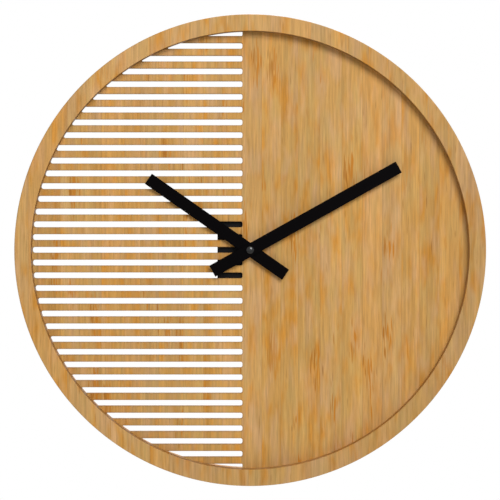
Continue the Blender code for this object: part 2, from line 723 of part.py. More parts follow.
def stepped_post(name, at, radius, shoulder, pin_radius, tip):
    """A post on the case's floor whose pin passes through what rests on its shoulder."""
    root = CASE_FLOOR + POST_ROOT
    profile = [(0, root), (radius, root), (radius, shoulder), (pin_radius, shoulder),
               (pin_radius, tip), (0, tip)]
    return turned(name, profile, POST_STEPS, at)


def posts():
    root = CASE_FLOOR + POST_ROOT
    profile = [
        (0, root), (POST_RADIUS, root), (POST_RADIUS, MIDDLE_PLATE_FRONT + SEAT_GAP),
        (POST_NECK_RADIUS, MIDDLE_PLATE_FRONT + SEAT_GAP),
        (POST_NECK_RADIUS, BRIDGE_FRONT + SEAT_GAP), (POST_PIN_RADIUS, BRIDGE_FRONT + SEAT_GAP),
        (POST_PIN_RADIUS, PIVOT_BACK), (0, PIVOT_BACK)]
    made = [turned(f"plate_post_{i}", profile, POST_STEPS, at) for i, at in enumerate(PLATE_POSTS)]
    made += [
        stepped_post(f"board_post_{i}", at, BOARD_POST_RADIUS, BOARD_FRONT + SEAT_GAP,
                     POST_PIN_RADIUS, BOARD_BACK - PIVOT_STAND_OUT)
        for i, at in enumerate(BOARD_POSTS)]
    return made + [
        stepped_post(f"core_post_{i}", at, BOARD_POST_RADIUS, STATOR_FRONT + SEAT_GAP,
                     CORE_PIN_RADIUS, CORE_BACK - PIVOT_STAND_OUT)
        for i, at in enumerate(CORE_POSTS)]


def snap_places():
    """Each hook's name, its side of the case and its place along that side."""
    return [(f"{side_name}_{level}", side, y)
            for side_name, side in (("left", -1), ("right", 1))
            for level, y in (("lower", LOWER_SNAP_Y), ("upper", UPPER_SNAP_Y))]


def snap_hook(name, side, y):
    """A springy tongue on the side wall, with a nose that catches the cover from behind."""
    inner, outer = POCKET_SIDE + SNAP_HOOK_SETBACK, HALF_WIDTH - SNAP_HOOK_SETBACK
    tip = POCKET_SIDE - SNAP_NOSE_REACH
    root = CASE_BACK + POST_ROOT
    catch = COVER_BACK - SEAT_GAP
    land = catch - SNAP_NOSE_LAND
    end = land - SNAP_NOSE_SLOPE
    profile = [(inner, root), (inner, catch), (tip, catch), (tip, land), (inner, end),
               (outer, end), (outer, root)]
    half = SNAP_HOOK_WIDTH / 2
    return plate("snap_hook_" + name, [[(side * x, height) for x, height in profile]],
                 -half, half, (0, y), (math.pi / 2, 0, 0))


def hole(name, radius, back, front, at=CENTRE, steps=FINE_ARBOR_STEPS):
    """A cylinder that cuts a round hole."""
    return turned(name, [(0, front), (radius, front), (radius, back), (0, back)], steps, at)


def build_case(material):
    side = HALF_WIDTH
    case = plate("movement_case", [rounded_box((-side, -side), (side, side), CASE_CORNER)],
                 CASE_BACK, CASE_FRONT)
    open_back = CASE_BACK - CUT_OVERRUN
    pocket = plate("train_pocket", [rounded_box((-POCKET_SIDE, POCKET_BOTTOM),
                                                (POCKET_SIDE, POCKET_SIDE), POCKET_CORNER)],
                   open_back, CASE_FLOOR)
    bay = plate("battery_bay", [rounded_box((-POCKET_SIDE, BAY_BOTTOM),
                                            (POCKET_SIDE, BAY_TOP), BAY_CORNER)],
                open_back, BAY_FLOOR)
    notch_half = FINGER_NOTCH_WIDTH / 2
    notch = plate("finger_notch", [rounded(
        [(-notch_half, open_back), (notch_half, open_back),
         (notch_half, CASE_BACK + FINGER_NOTCH_DEPTH), (-notch_half, CASE_BACK + FINGER_NOTCH_DEPTH)],
        [0, 0, FINGER_NOTCH_ROUNDING, FINGER_NOTCH_ROUNDING])],
        -(CASE_SIDE_WALL + CUT_OVERRUN), CASE_SIDE_WALL + CUT_OVERRUN,
        (0, -side), (math.pi / 2, 0, 0))
    tail_inner = POCKET_SIDE - SEAT_GAP - CONTACT_THICKNESS - TAIL_NOTCH_CLEARANCE
    tail_front = BOARD_MIDDLE + TAIL_WIDTH / 2 + TAIL_NOTCH_CLEARANCE
    tails = [
        box("tail_notch_" + name, (low, BAY_TOP - BAY_CORNER, open_back),
            (high, POCKET_BOTTOM + POCKET_CORNER, tail_front))
        for name, low, high in (("left", -POCKET_SIDE, -tail_inner), ("right", tail_inner, POCKET_SIDE))]
    bush_hole = hole("bush_hole", BUSH_HOLE_RADIUS, CASE_FLOOR - CUT_OVERRUN,
                     CASE_FRONT + CUT_OVERRUN, steps=BUSH_STEPS)
    counterbore = hole("bush_counterbore", BUSH_FLANGE_RADIUS + SEAT_GAP, CASE_FLOOR - CUT_OVERRUN,
                       CASE_FLOOR + COUNTERBORE_DEPTH, steps=BUSH_STEPS)
    pivot_front = CASE_FLOOR + PIVOT_HOLE_DEPTH
    pivots = [hole(name, PIVOT_RADIUS + PIVOT_GAP, CASE_FLOOR - CUT_OVERRUN, pivot_front, at)
              for name, at in (("third_pivot_hole", THIRD_AT), ("setting_pivot_hole", SETTING_AT))]
    combine(case, "DIFFERENCE", pocket, bay, notch, *tails, bush_hole, counterbore, *pivots)
    hooks = [snap_hook(*place) for place in snap_places()]
    return dress(combine(case, "UNION", *posts(), *hooks), material)


def build_cover(material):
    side = HALF_WIDTH - COVER_RIM_INSET
    outline = rounded([(-side, BAY_TOP), (side, BAY_TOP), (side, side), (-side, side)],
                      [COVER_LOWER_CORNER, COVER_LOWER_CORNER, CASE_CORNER, CASE_CORNER])
    cover = plate("case_back", [outline], COVER_BACK, COVER_FRONT)
    inside = (COVER_BACK + COVER_FRONT) / 2
    shaft = hole("setting_shaft_hole", SETTING_SHAFT_RADIUS + SEAT_GAP, COVER_BACK - CUT_OVERRUN,
                 COVER_FRONT + CUT_OVERRUN, SETTING_AT, ARBOR_STEPS)
    notch_half = SNAP_HOOK_WIDTH / 2 + FIT_GAP
    notch_inner, notch_outer = POCKET_SIDE - FIT_GAP, HALF_WIDTH + CUT_OVERRUN
    notches = [
        box("snap_notch_" + name,
            (min(side * notch_inner, side * notch_outer), y - notch_half, COVER_BACK - CUT_OVERRUN),
            (max(side * notch_inner, side * notch_outer), y + notch_half, COVER_FRONT + CUT_OVERRUN))
        for name, side, y in snap_places()]
    combine(cover, "DIFFERENCE", shaft, *notches)
    inner = KNOB_RADIUS + KNOB_GUARD_CLEARANCE
    outer = inner + KNOB_GUARD_WALL
    low = COVER_BACK - KNOB_GUARD_HEIGHT
    guard = turned("knob_guard", [(inner, inside), (outer, inside), (outer, low), (inner, low)],
                   BATTERY_STEPS, SETTING_AT)
    top = COVER_FRONT + ROTOR_BOSS_HEIGHT
    bore = PIVOT_RADIUS + PIVOT_GAP
    boss = turned("rotor_boss", [
        (0, COVER_FRONT), (bore, COVER_FRONT), (bore, top), (ROTOR_BOSS_RADIUS, top),
        (ROTOR_BOSS_RADIUS, inside), (0, inside)], FINE_ARBOR_STEPS, ROTOR_AT)
    return dress(combine(cover, "UNION", guard, boss), material)


def build_bush(material):
    flange_front = CASE_FLOOR + COUNTERBORE_DEPTH - SEAT_GAP
    flange_back = flange_front - BUSH_FLANGE_THICKNESS
    profile = [
        (BUSH_BORE, BUSH_FRONT), (BUSH_RADIUS - BUSH_END_CHAMFER, BUSH_FRONT),
        (BUSH_RADIUS, BUSH_FRONT - BUSH_END_CHAMFER), (BUSH_RADIUS, flange_front),
        (BUSH_FLANGE_RADIUS, flange_front), (BUSH_FLANGE_RADIUS, flange_back),
        (BUSH_BORE, flange_back)]
    return dress(turned("threaded_bush", profile, BUSH_STEPS), material)


def ring(name, bore, radius, back, front, steps, material):
    """A flat ring on the dial's axis."""
    profile = [(bore, front), (radius, front), (radius, back), (bore, back)]
    return dress(turned(name, profile, steps), material)


def build_dial_fixings(rubber, brass):
    bore = BUSH_HOLE_RADIUS
    ring("rubber_washer", bore, bore + RUBBER_WIDTH, CASE_FRONT + SEAT_GAP,
         PANEL_BACK - SEAT_GAP, BUSH_STEPS, rubber)
    ring("fixing_washer", bore, WASHER_RADIUS, PANEL_FRONT + SEAT_GAP, WASHER_FRONT,
         BUSH_STEPS, brass)
    flat = NUT_ACROSS_FLATS / 2
    corner = flat / math.cos(math.pi / 6)
    wide = corner + CUT_OVERRUN
    chamfer = (wide - flat) * math.tan(NUT_CHAMFER_ANGLE)
    nut = turned("hex_nut", [(bore, NUT_FRONT), (flat, NUT_FRONT), (wide, NUT_FRONT - chamfer),
                             (wide, NUT_BACK), (bore, NUT_BACK)], BUSH_STEPS)
    hexagon = plate("nut_hexagon", [circle(corner, 6)], NUT_BACK - CUT_OVERRUN,
                    NUT_FRONT + CUT_OVERRUN)
    return dress(combine(nut, "INTERSECT", hexagon), brass)


# Hands and their cap


def build_hand(name, width, reach, tail, bore, back, angle, material):
    """A flat square-ended hand that lies along its own x axis."""
    outline = [(-tail, -width / 2), (reach, -width / 2), (reach, width / 2), (-tail, width / 2)]
    hand = plate(name, [outline, circle(bore, HAND_HOLE_STEPS)], back, back + HAND_THICKNESS,
                 turn=(0, 0, angle))
    edge = hand.modifiers.new("Edge", "BEVEL")
    edge.width = HAND_EDGE_CHAMFER
    edge.segments = 1
    edge.limit_method = "ANGLE"
    return dress(hand, material)


def build_hour_hand(material):
    bore = HOUR_TUBE_RADIUS + RUNNING_GAP
    radius = bore + HOUR_COLLAR_WALL
    hand = build_hand("hour_hand", HOUR_HAND_WIDTH, HOUR_HAND_REACH, HOUR_HAND_TAIL,
                      (bore + radius) / 2, HOUR_HAND_BACK, HOUR_HAND_ANGLE, material)
    front = HOUR_HAND_FRONT + HOUR_COLLAR_RIVET
    profile = [(bore, front), (radius, front), (radius, HOUR_COLLAR_BACK), (bore, HOUR_COLLAR_BACK)]
    return combine(hand, "UNION", turned("hour_hand_collar", profile, HAND_HOLE_STEPS))


def build_minute_hand(material):
    return build_hand("minute_hand", MINUTE_HAND_WIDTH, MINUTE_HAND_REACH, MINUTE_HAND_TAIL,
                      MINUTE_SEAT_RADIUS + RUNNING_GAP, MINUTE_HAND_BACK, MINUTE_HAND_ANGLE, material)


def build_cap_nut(material):
    dome_height = CAP_HEIGHT - CAP_WALL_HEIGHT
    dome = [
        (CAP_RADIUS * math.sin(angle), CAP_BACK + CAP_WALL_HEIGHT + dome_height * math.cos(angle))
        for angle in (math.pi / 2 * i / CAP_DOME_STEPS for i in range(CAP_DOME_STEPS + 1))]
    bore = MINUTE_TIP_RADIUS + RUNNING_GAP
    top = CAP_BACK + CAP_BORE_DEPTH
    profile = dome + [(CAP_RADIUS, CAP_BACK), (bore, CAP_BACK), (bore, top), (0, top)]
    return dress(turned("cap_nut", profile, CAP_STEPS), material)


# Motion work: the minute arbor drives the setting wheel, and that the hour wheel


def build_minute_arbor(material):
    module = tooth_module(SETTING_DISTANCE, MINUTE_PINION_TEETH, SETTING_WHEEL_TEETH)
    inside = (MINUTE_PINION_FRONT + MINUTE_PINION_BACK) / 2
    bore = PIVOT_RADIUS + PIVOT_GAP
    bore_top = MINUTE_ARBOR_BACK + MINUTE_PIVOT_DEPTH
    arbor = turned("minute_arbor", [
        (0, MINUTE_ARBOR_FRONT), (MINUTE_TIP_RADIUS, MINUTE_ARBOR_FRONT),
        (MINUTE_TIP_RADIUS, MINUTE_HAND_FRONT), (MINUTE_SEAT_RADIUS, MINUTE_HAND_FRONT),
        (MINUTE_SEAT_RADIUS, MINUTE_SHOULDER), (MINUTE_ARBOR_RADIUS, MINUTE_SHOULDER),
        (MINUTE_ARBOR_RADIUS, inside), (MINUTE_TAIL_RADIUS, inside),
        (MINUTE_TAIL_RADIUS, MINUTE_ARBOR_BACK), (bore, MINUTE_ARBOR_BACK),
        (bore, bore_top), (0, bore_top)], ARBOR_STEPS)
    loops = [pinion_loop(MINUTE_PINION_TEETH, module),
             circle((bore + MINUTE_TAIL_RADIUS) / 2, ARBOR_STEPS)]
    leaves = plate("minute_pinion", loops, MINUTE_PINION_BACK, MINUTE_PINION_FRONT)
    return dress(combine(arbor, "UNION", leaves), material)


def build_setting_wheel(material):
    wheel_module = tooth_module(SETTING_DISTANCE, MINUTE_PINION_TEETH, SETTING_WHEEL_TEETH)
    pinion_module = tooth_module(SETTING_DISTANCE, SETTING_PINION_TEETH, HOUR_WHEEL_TEETH)
    phase = meshed_phase(SETTING_DIRECTION, 0, MINUTE_PINION_TEETH, SETTING_WHEEL_TEETH)
    wheel = wheel_loop(SETTING_WHEEL_TEETH, wheel_module, phase)
    pinion = pinion_loop(SETTING_PINION_TEETH, pinion_module)
    inside = (SETTING_WHEEL_FRONT + SETTING_WHEEL_BACK) / 2
    pivot_end = CASE_FLOOR + PIVOT_HOLE_DEPTH - SEAT_GAP
    shoulder = CASE_FLOOR - SEAT_GAP
    shaft = [
        (0, pivot_end), (PIVOT_RADIUS, pivot_end), (PIVOT_RADIUS, shoulder),
        (SETTING_SHAFT_RADIUS, shoulder), (SETTING_SHAFT_RADIUS, KNOB_FRONT + SEAT_GAP),
        (SETTING_SEAT_RADIUS, KNOB_FRONT + SEAT_GAP), (SETTING_SEAT_RADIUS, KNOB_SEAT_END),
        (0, KNOB_SEAT_END)]
    made = wheel_on_arbor("setting_wheel", SETTING_AT, wheel, (SETTING_WHEEL_BACK, SETTING_WHEEL_FRONT),
                          pinion, (inside, HOUR_WHEEL_FRONT + PINION_MARGIN), shaft)
    return dress(made, material)


def build_hour_wheel(material):
    module = tooth_module(SETTING_DISTANCE, SETTING_PINION_TEETH, HOUR_WHEEL_TEETH)
    phase = meshed_phase(direction(SETTING_AT, CENTRE), 0, SETTING_PINION_TEETH, HOUR_WHEEL_TEETH)
    bore = MINUTE_ARBOR_BORE
    disc = plate("hour_wheel", [wheel_loop(HOUR_WHEEL_TEETH, module, phase),
                                circle((bore + HOUR_TUBE_RADIUS) / 2, ARBOR_STEPS)],
                 HOUR_WHEEL_BACK, HOUR_WHEEL_FRONT)
    back = HOUR_WHEEL_BACK - SEAT_GAP
    tube = turned("hour_tube", [
        (bore, HOUR_TUBE_FRONT), (HOUR_TUBE_RADIUS, HOUR_TUBE_FRONT),
        (HOUR_TUBE_RADIUS, back), (bore, back)], HAND_HOLE_STEPS)
    return dress(combine(disc, "UNION", tube), material)


def build_setting_knob(material):
    flutes = toothed(KNOB_FLUTES, (
        (-HALF_SPACING_SHARE, KNOB_RADIUS - KNOB_FLUTE_DEPTH),
        (-KNOB_LAND_SHARE, KNOB_RADIUS), (KNOB_LAND_SHARE, KNOB_RADIUS)), 0)
    knob = plate("setting_knob", [flutes], KNOB_BACK, KNOB_FRONT, SETTING_AT)
    bore = hole("knob_bore", SETTING_SEAT_RADIUS + PIVOT_GAP, KNOB_FRONT - KNOB_BORE_DEPTH,
                KNOB_FRONT + CUT_OVERRUN, SETTING_AT)
    well = hole("knob_well", KNOB_WELL_RADIUS, KNOB_BACK - CUT_OVERRUN,
                KNOB_BACK + KNOB_WELL_DEPTH, SETTING_AT, ARBOR_STEPS)
    return dress(combine(knob, "DIFFERENCE", bore, well), material)


# Train: the rotor drives the intermediate, seconds, third and centre wheels


def build_centre_wheel(material):
    module = tooth_module(THIRD_DISTANCE, THIRD_PINION_TEETH, CENTRE_WHEEL_TEETH)
    loops = [wheel_loop(CENTRE_WHEEL_TEETH, module),
             circle(MINUTE_TAIL_RADIUS + PIVOT_GAP, ARBOR_STEPS)]
    return dress(plate("centre_wheel", loops, CENTRE_WHEEL_BACK, CENTRE_WHEEL_FRONT), material)


def build_third_wheel(material):
    pinion_module = tooth_module(THIRD_DISTANCE, THIRD_PINION_TEETH, CENTRE_WHEEL_TEETH)
    wheel_module = tooth_module(THIRD_DISTANCE, SECONDS_PINION_TEETH, THIRD_WHEEL_TEETH)
    phase = meshed_phase(THIRD_DIRECTION, 0, CENTRE_WHEEL_TEETH, THIRD_PINION_TEETH)
    arbor = stepped_arbor(CASE_FLOOR + PIVOT_HOLE_DEPTH - SEAT_GAP, CASE_FLOOR - SEAT_GAP,
                          BRIDGE_FRONT + SEAT_GAP, PIVOT_BACK)
    made = wheel_on_arbor("third_wheel", THIRD_AT, wheel_loop(THIRD_WHEEL_TEETH, wheel_module),
                          (THIRD_WHEEL_BACK, THIRD_WHEEL_FRONT),
                          pinion_loop(THIRD_PINION_TEETH, pinion_module, phase),
                          (CENTRE_WHEEL_BACK - PINION_MARGIN, CENTRE_WHEEL_FRONT + PINION_MARGIN),
                          arbor)
    return dress(made, material)


def build_seconds_wheel(material):
    pinion_module = tooth_module(THIRD_DISTANCE, SECONDS_PINION_TEETH, THIRD_WHEEL_TEETH)
    wheel_module = tooth_module(INTERMEDIATE_DISTANCE, INTERMEDIATE_PINION_TEETH,
                                SECONDS_WHEEL_TEETH)
    phase = meshed_phase(direction(THIRD_AT, CENTRE), 0, THIRD_WHEEL_TEETH, SECONDS_PINION_TEETH)
    arbor = stepped_arbor(MINUTE_ARBOR_BACK + MINUTE_PIVOT_DEPTH - SEAT_GAP,
                          MIDDLE_PLATE_BACK - SEAT_GAP, BRIDGE_FRONT + SEAT_GAP, PIVOT_BACK)
    inside = (SECONDS_WHEEL_FRONT + SECONDS_WHEEL_BACK) / 2
    made = wheel_on_arbor("seconds_wheel", CENTRE, wheel_loop(SECONDS_WHEEL_TEETH, wheel_module),
                          (SECONDS_WHEEL_BACK, SECONDS_WHEEL_FRONT),
                          pinion_loop(SECONDS_PINION_TEETH, pinion_module, phase),
                          (inside, THIRD_WHEEL_FRONT + PINION_MARGIN), arbor)
    return dress(made, material)


def build_intermediate_wheel(material):
    pinion_module = tooth_module(INTERMEDIATE_DISTANCE, INTERMEDIATE_PINION_TEETH,
                                 SECONDS_WHEEL_TEETH)
    wheel_module = tooth_module(ROTOR_DISTANCE, ROTOR_PINION_TEETH, INTERMEDIATE_WHEEL_TEETH)
    phase = meshed_phase(INTERMEDIATE_DIRECTION, 0, SECONDS_WHEEL_TEETH, INTERMEDIATE_PINION_TEETH)
    arbor = stepped_arbor(MIDDLE_PLATE_FRONT - SEAT_GAP, MIDDLE_PLATE_BACK - SEAT_GAP,
                          BRIDGE_FRONT + SEAT_GAP, PIVOT_BACK)
    inside = (INTERMEDIATE_WHEEL_FRONT + INTERMEDIATE_WHEEL_BACK) / 2
    made = wheel_on_arbor("intermediate_wheel", INTERMEDIATE_AT,
                          wheel_loop(INTERMEDIATE_WHEEL_TEETH, wheel_module),
                          (INTERMEDIATE_WHEEL_BACK, INTERMEDIATE_WHEEL_FRONT),
                          pinion_loop(INTERMEDIATE_PINION_TEETH, pinion_module, phase),
                          (inside, SECONDS_WHEEL_FRONT + PINION_MARGIN), arbor)
    return dress(made, material)


def build_rotor(plastic, magnet_black):
    module = tooth_module(ROTOR_DISTANCE, ROTOR_PINION_TEETH, INTERMEDIATE_WHEEL_TEETH)
    phase = meshed_phase(ROTOR_DIRECTION, 0, INTERMEDIATE_WHEEL_TEETH, ROTOR_PINION_TEETH)
    front = MIDDLE_PLATE_FRONT - SEAT_GAP
    shoulder = MIDDLE_PLATE_BACK - SEAT_GAP
    boss_top = COVER_FRONT + ROTOR_BOSS_HEIGHT + SEAT_GAP
    staff = turned("rotor_pinion", [
        (0, front), (PIVOT_RADIUS, front), (PIVOT_RADIUS, shoulder),
        (TRAIN_ARBOR_RADIUS, shoulder), (TRAIN_ARBOR_RADIUS, MAGNET_FRONT),
        (ROTOR_SEAT_RADIUS, MAGNET_FRONT), (ROTOR_SEAT_RADIUS, MAGNET_BACK),
        (TRAIN_ARBOR_RADIUS, MAGNET_BACK), (TRAIN_ARBOR_RADIUS, boss_top),
        (PIVOT_RADIUS, boss_top), (PIVOT_RADIUS, COVER_FRONT + SEAT_GAP),
        (0, COVER_FRONT + SEAT_GAP)], FINE_ARBOR_STEPS, ROTOR_AT)
    leaves = plate("rotor_leaves", [pinion_loop(ROTOR_PINION_TEETH, module, phase)],
                   INTERMEDIATE_WHEEL_BACK - PINION_MARGIN,
                   INTERMEDIATE_WHEEL_FRONT + PINION_MARGIN, ROTOR_AT)
    dress(combine(staff, "UNION", leaves), plastic)
    bore = ROTOR_SEAT_RADIUS + PIVOT_GAP
    magnet = turned("rotor_magnet", [
        (bore, MAGNET_FRONT), (ROTOR_MAGNET_RADIUS, MAGNET_FRONT),
        (ROTOR_MAGNET_RADIUS, MAGNET_BACK), (bore, MAGNET_BACK)], ARBOR_STEPS, ROTOR_AT)
    return dress(magnet, magnet_black)


# Plates between the layers


def plate_outline():
    xs, ys = zip(*PLATE_POSTS)
    margin = POST_RADIUS + PLATE_MARGIN
    low = (min(xs) - margin, min(ys) - margin)
    high = (max(xs) + margin, max(ys) + margin)
    return rounded_box(low, high, PLATE_CORNER)


def build_plate(name, back, front, pin_radius, passages, material):
    """A plate on the four posts, with a round hole for each arbor that meets it."""
    loops = [plate_outline()]
    loops += [circle(pin_radius + SEAT_GAP, POST_STEPS, at) for at in PLATE_POSTS]
    loops += [circle(radius, FINE_ARBOR_STEPS, at) for at, radius in passages]
    return dress(plate(name, loops, back, front), material)


def build_plates(material):
    pivot = PIVOT_RADIUS + PIVOT_GAP
    shaft = SETTING_SHAFT_RADIUS + SEAT_GAP
    arbor = TRAIN_ARBOR_RADIUS + SEAT_GAP
    build_plate("middle_plate", MIDDLE_PLATE_BACK, MIDDLE_PLATE_FRONT, POST_NECK_RADIUS,
                [(CENTRE, pivot), (THIRD_AT, arbor), (INTERMEDIATE_AT, pivot),
                 (ROTOR_AT, pivot), (SETTING_AT, shaft)], material)
    build_plate("train_bridge", BRIDGE_BACK, BRIDGE_FRONT, POST_PIN_RADIUS,
                [(CENTRE, pivot), (THIRD_AT, pivot), (INTERMEDIATE_AT, pivot),
                 (ROTOR_AT, arbor), (SETTING_AT, shaft)], material)


# Stepping motor


def core_pin_holes():
    """The holes by which the stator and the coil's core sit on the case's two core posts."""
    return [circle(CORE_PIN_RADIUS + SEAT_GAP, FINE_ARBOR_STEPS, at) for at in CORE_POSTS]


def build_stator(material):
    """A flat iron part: a ring round the rotor, with an arm to each end of the coil's core."""
    radius = ROTOR_MAGNET_RADIUS + STATOR_AIR_GAP + STATOR_RING_WIDTH
    pad_low = COIL_Y - STATOR_PAD_HEIGHT / 2
    pad_high = COIL_Y + STATOR_PAD_HEIGHT / 2
    left_inner, left_outer = COIL_LEFT - LAYER_GAP, COIL_LEFT - CORE_OVERHANG
    right_inner, right_outer = COIL_RIGHT + LAYER_GAP, COIL_RIGHT + CORE_OVERHANG
    lower_arc = [polar(radius, math.pi + math.pi * i / STATOR_ARC_STEPS, ROTOR_AT)
                 for i in range(STATOR_ARC_STEPS + 1)]
    crotch = (ROTOR_AT[0], ROTOR_AT[1] + radius)
    outline = lower_arc + [
        (right_outer, pad_low), (right_outer, pad_high), (right_inner, pad_high),
        (right_inner, pad_low), crotch, (left_inner, pad_low), (left_inner, pad_high),
        (left_outer, pad_high), (left_outer, pad_low)]
    bore = circle(ROTOR_MAGNET_RADIUS + STATOR_AIR_GAP, ARBOR_STEPS, ROTOR_AT)
    return dress(plate("stator", [outline, bore, *core_pin_holes()], STATOR_BACK, STATOR_FRONT),
                 material)


def build_coil(iron, plastic, copper):
    middle = (COIL_LEFT + COIL_RIGHT) / 2
    half = (COIL_RIGHT - COIL_LEFT) / 2
    neck = half - BOBBIN_FLANGE_THICKNESS
    along_x = (0, math.pi / 2, 0)
    at = (middle, COIL_Y)
    left, right = COIL_LEFT - CORE_OVERHANG, COIL_RIGHT + CORE_OVERHANG
    low, high = COIL_Y - CORE_WIDTH / 2, COIL_Y + CORE_WIDTH / 2
    bar = [(left, low), (right, low), (right, high), (left, high)]
    dress(plate("coil_core", [bar, *core_pin_holes()], CORE_BACK, CORE_FRONT), iron)
    tube = COIL_INNER_RADIUS - SEAT_GAP
    dress(turned("coil_bobbin", [
        (BOBBIN_BORE_RADIUS, half), (BOBBIN_FLANGE_RADIUS, half), (BOBBIN_FLANGE_RADIUS, neck),
        (tube, neck), (tube, -neck), (BOBBIN_FLANGE_RADIUS, -neck),
        (BOBBIN_FLANGE_RADIUS, -half), (BOBBIN_BORE_RADIUS, -half)],
        COIL_STEPS, at, CORE_MIDDLE, along_x), plastic)
    wound = neck - SEAT_GAP
    dress(turned("coil_winding", [
        (COIL_INNER_RADIUS, wound), (COIL_OUTER_RADIUS, wound),
        (COIL_OUTER_RADIUS, -wound), (COIL_INNER_RADIUS, -wound)],
        COIL_STEPS, at, CORE_MIDDLE, along_x), copper)


# Circuit board


def build_board(laminate, epoxy, steel):
    outline = rounded_box((BOARD_LEFT, BOARD_BOTTOM), (BOARD_RIGHT, BOARD_TOP), BOARD_CORNER,
                          FINE_CORNER_STEPS)
    holes = [circle(POST_PIN_RADIUS + SEAT_GAP, POST_STEPS, at) for at in BOARD_POSTS]
    dress(plate("circuit_board", [outline, *holes], BOARD_BACK, BOARD_FRONT), laminate)
    seat = BOARD_BACK - SEAT_GAP
    blob = [
        (CHIP_RADIUS * math.cos(angle), seat - CHIP_HEIGHT * math.sin(angle))
        for angle in (math.pi / 2 * i / CAP_DOME_STEPS for i in range(CAP_DOME_STEPS + 1))]
    dress(turned("control_chip", [(0, seat)] + blob, CHIP_STEPS, (CHIP_X, CHIP_Y)), epoxy)
    half = CRYSTAL_LENGTH / 2
    dress(turned("quartz_crystal", [
        (0, half), (CRYSTAL_RADIUS, half), (CRYSTAL_RADIUS, -half), (0, -half)],
        FINE_ARBOR_STEPS, (CRYSTAL_X, CRYSTAL_Y), seat - CRYSTAL_RADIUS,
        (-math.pi / 2, 0, 0)), steel)


# Battery and its contacts


def build_battery(material):
    half = BATTERY_LENGTH / 2
    shoulder = half - BATTERY_NUB_LENGTH
    edge = BATTERY_EDGE_ROUNDING
    base = -half + BATTERY_BASE_LENGTH
    profile = [
        (0, half), (BATTERY_NUB_RADIUS, half), (BATTERY_NUB_RADIUS, shoulder),
        (BATTERY_RADIUS - edge, shoulder), (BATTERY_RADIUS, shoulder - edge),
        (BATTERY_RADIUS, base + edge), (BATTERY_RADIUS - edge, base),
        (BATTERY_BASE_RADIUS, base), (BATTERY_BASE_RADIUS, -half), (0, -half)]
    middle = CONTACT_FACE - FIT_GAP - half
    return dress(turned("battery_cell", profile, BATTERY_STEPS, (middle, BATTERY_Y),
                        BATTERY_HEIGHT, (0, math.pi / 2, 0)), material)


def build_contact(name, side, material):
    """A flat contact at one end of the bay, with a tail that reaches the circuit board."""
    low, high = BATTERY_Y - CONTACT_WIDTH / 2, BATTERY_Y + CONTACT_WIDTH / 2
    near, far = BATTERY_HEIGHT - CONTACT_HEIGHT / 2, BATTERY_HEIGHT + CONTACT_HEIGHT / 2
    tail_back, tail_front = BOARD_MIDDLE - TAIL_WIDTH / 2, BOARD_MIDDLE + TAIL_WIDTH / 2
    tail_top = POCKET_BOTTOM + TAIL_LENGTH
    corner = CONTACT_CORNER
    outline = rounded(
        [(-near, low), (-near, high), (-tail_back, high), (-tail_back, tail_top),
         (-tail_front, tail_top), (-tail_front, high), (-far, high), (-far, low)],
        [corner, corner, 0, 0, 0, 0, corner, corner], FINE_CORNER_STEPS)
    middle = side * (CONTACT_FACE + CONTACT_THICKNESS / 2)
    contact = plate(name, [outline], -CONTACT_THICKNESS / 2, CONTACT_THICKNESS / 2,
                    (middle, 0), (0, math.pi / 2, 0))
    return dress(contact, material)


def build_lead(material):
    """The strip that joins the left contact's tail to the circuit board."""
    low = POCKET_BOTTOM + FIT_GAP
    return dress(box("negative_lead", (-CONTACT_FACE + SEAT_GAP, low, BOARD_MIDDLE - LEAD_HEIGHT / 2),
                     (LEAD_RIGHT, low + CONTACT_THICKNESS, BOARD_MIDDLE + LEAD_HEIGHT / 2)), material)


def spring_points():
    """A cone of wire: its coils narrow from the contact towards the battery."""
    start = -CONTACT_FACE + SEAT_GAP + SPRING_WIRE_RADIUS
    battery_base = CONTACT_FACE - FIT_GAP - BATTERY_LENGTH
    end = battery_base - SEAT_GAP - SPRING_WIRE_RADIUS
    count = SPRING_TURNS * SPRING_POINTS_A_TURN
    points = []
    for i in range(count + 1):
        share = i / count
        radius = SPRING_LARGE_RADIUS + (SPRING_SMALL_RADIUS - SPRING_LARGE_RADIUS) * share
        y, height = polar(radius, 2 * math.pi * i / SPRING_POINTS_A_TURN,
                          (BATTERY_Y, BATTERY_HEIGHT))
        points.append(Vector((start + (end - start) * share, y, height)))
    return points


def least_gap(points):
    """The smallest space between two turns of the wire, measured on its points."""
    apart = SPRING_POINTS_A_TURN // 2
    centres = min((a - b).length for i, a in enumerate(points) for b in points[i + apart:])
    return centres - 2 * SPRING_WIRE_RADIUS


def build_spring(material):
    points = spring_points()
    curve = bpy.data.curves.new("negative_spring", "CURVE")
    curve.dimensions = "3D"
    curve.bevel_depth = SPRING_WIRE_RADIUS
    curve.bevel_resolution = 1
    curve.use_fill_caps = True
    spline = curve.splines.new("POLY")
    spline.points.add(len(points) - 1)
    for point, place in zip(spline.points, points):
        point.co = (*place, 1)
    print(f"negative_spring: least gap between its turns {least_gap(points) * 1000:.2f} mm")
    return dress(placed("negative_spring", curve), material)


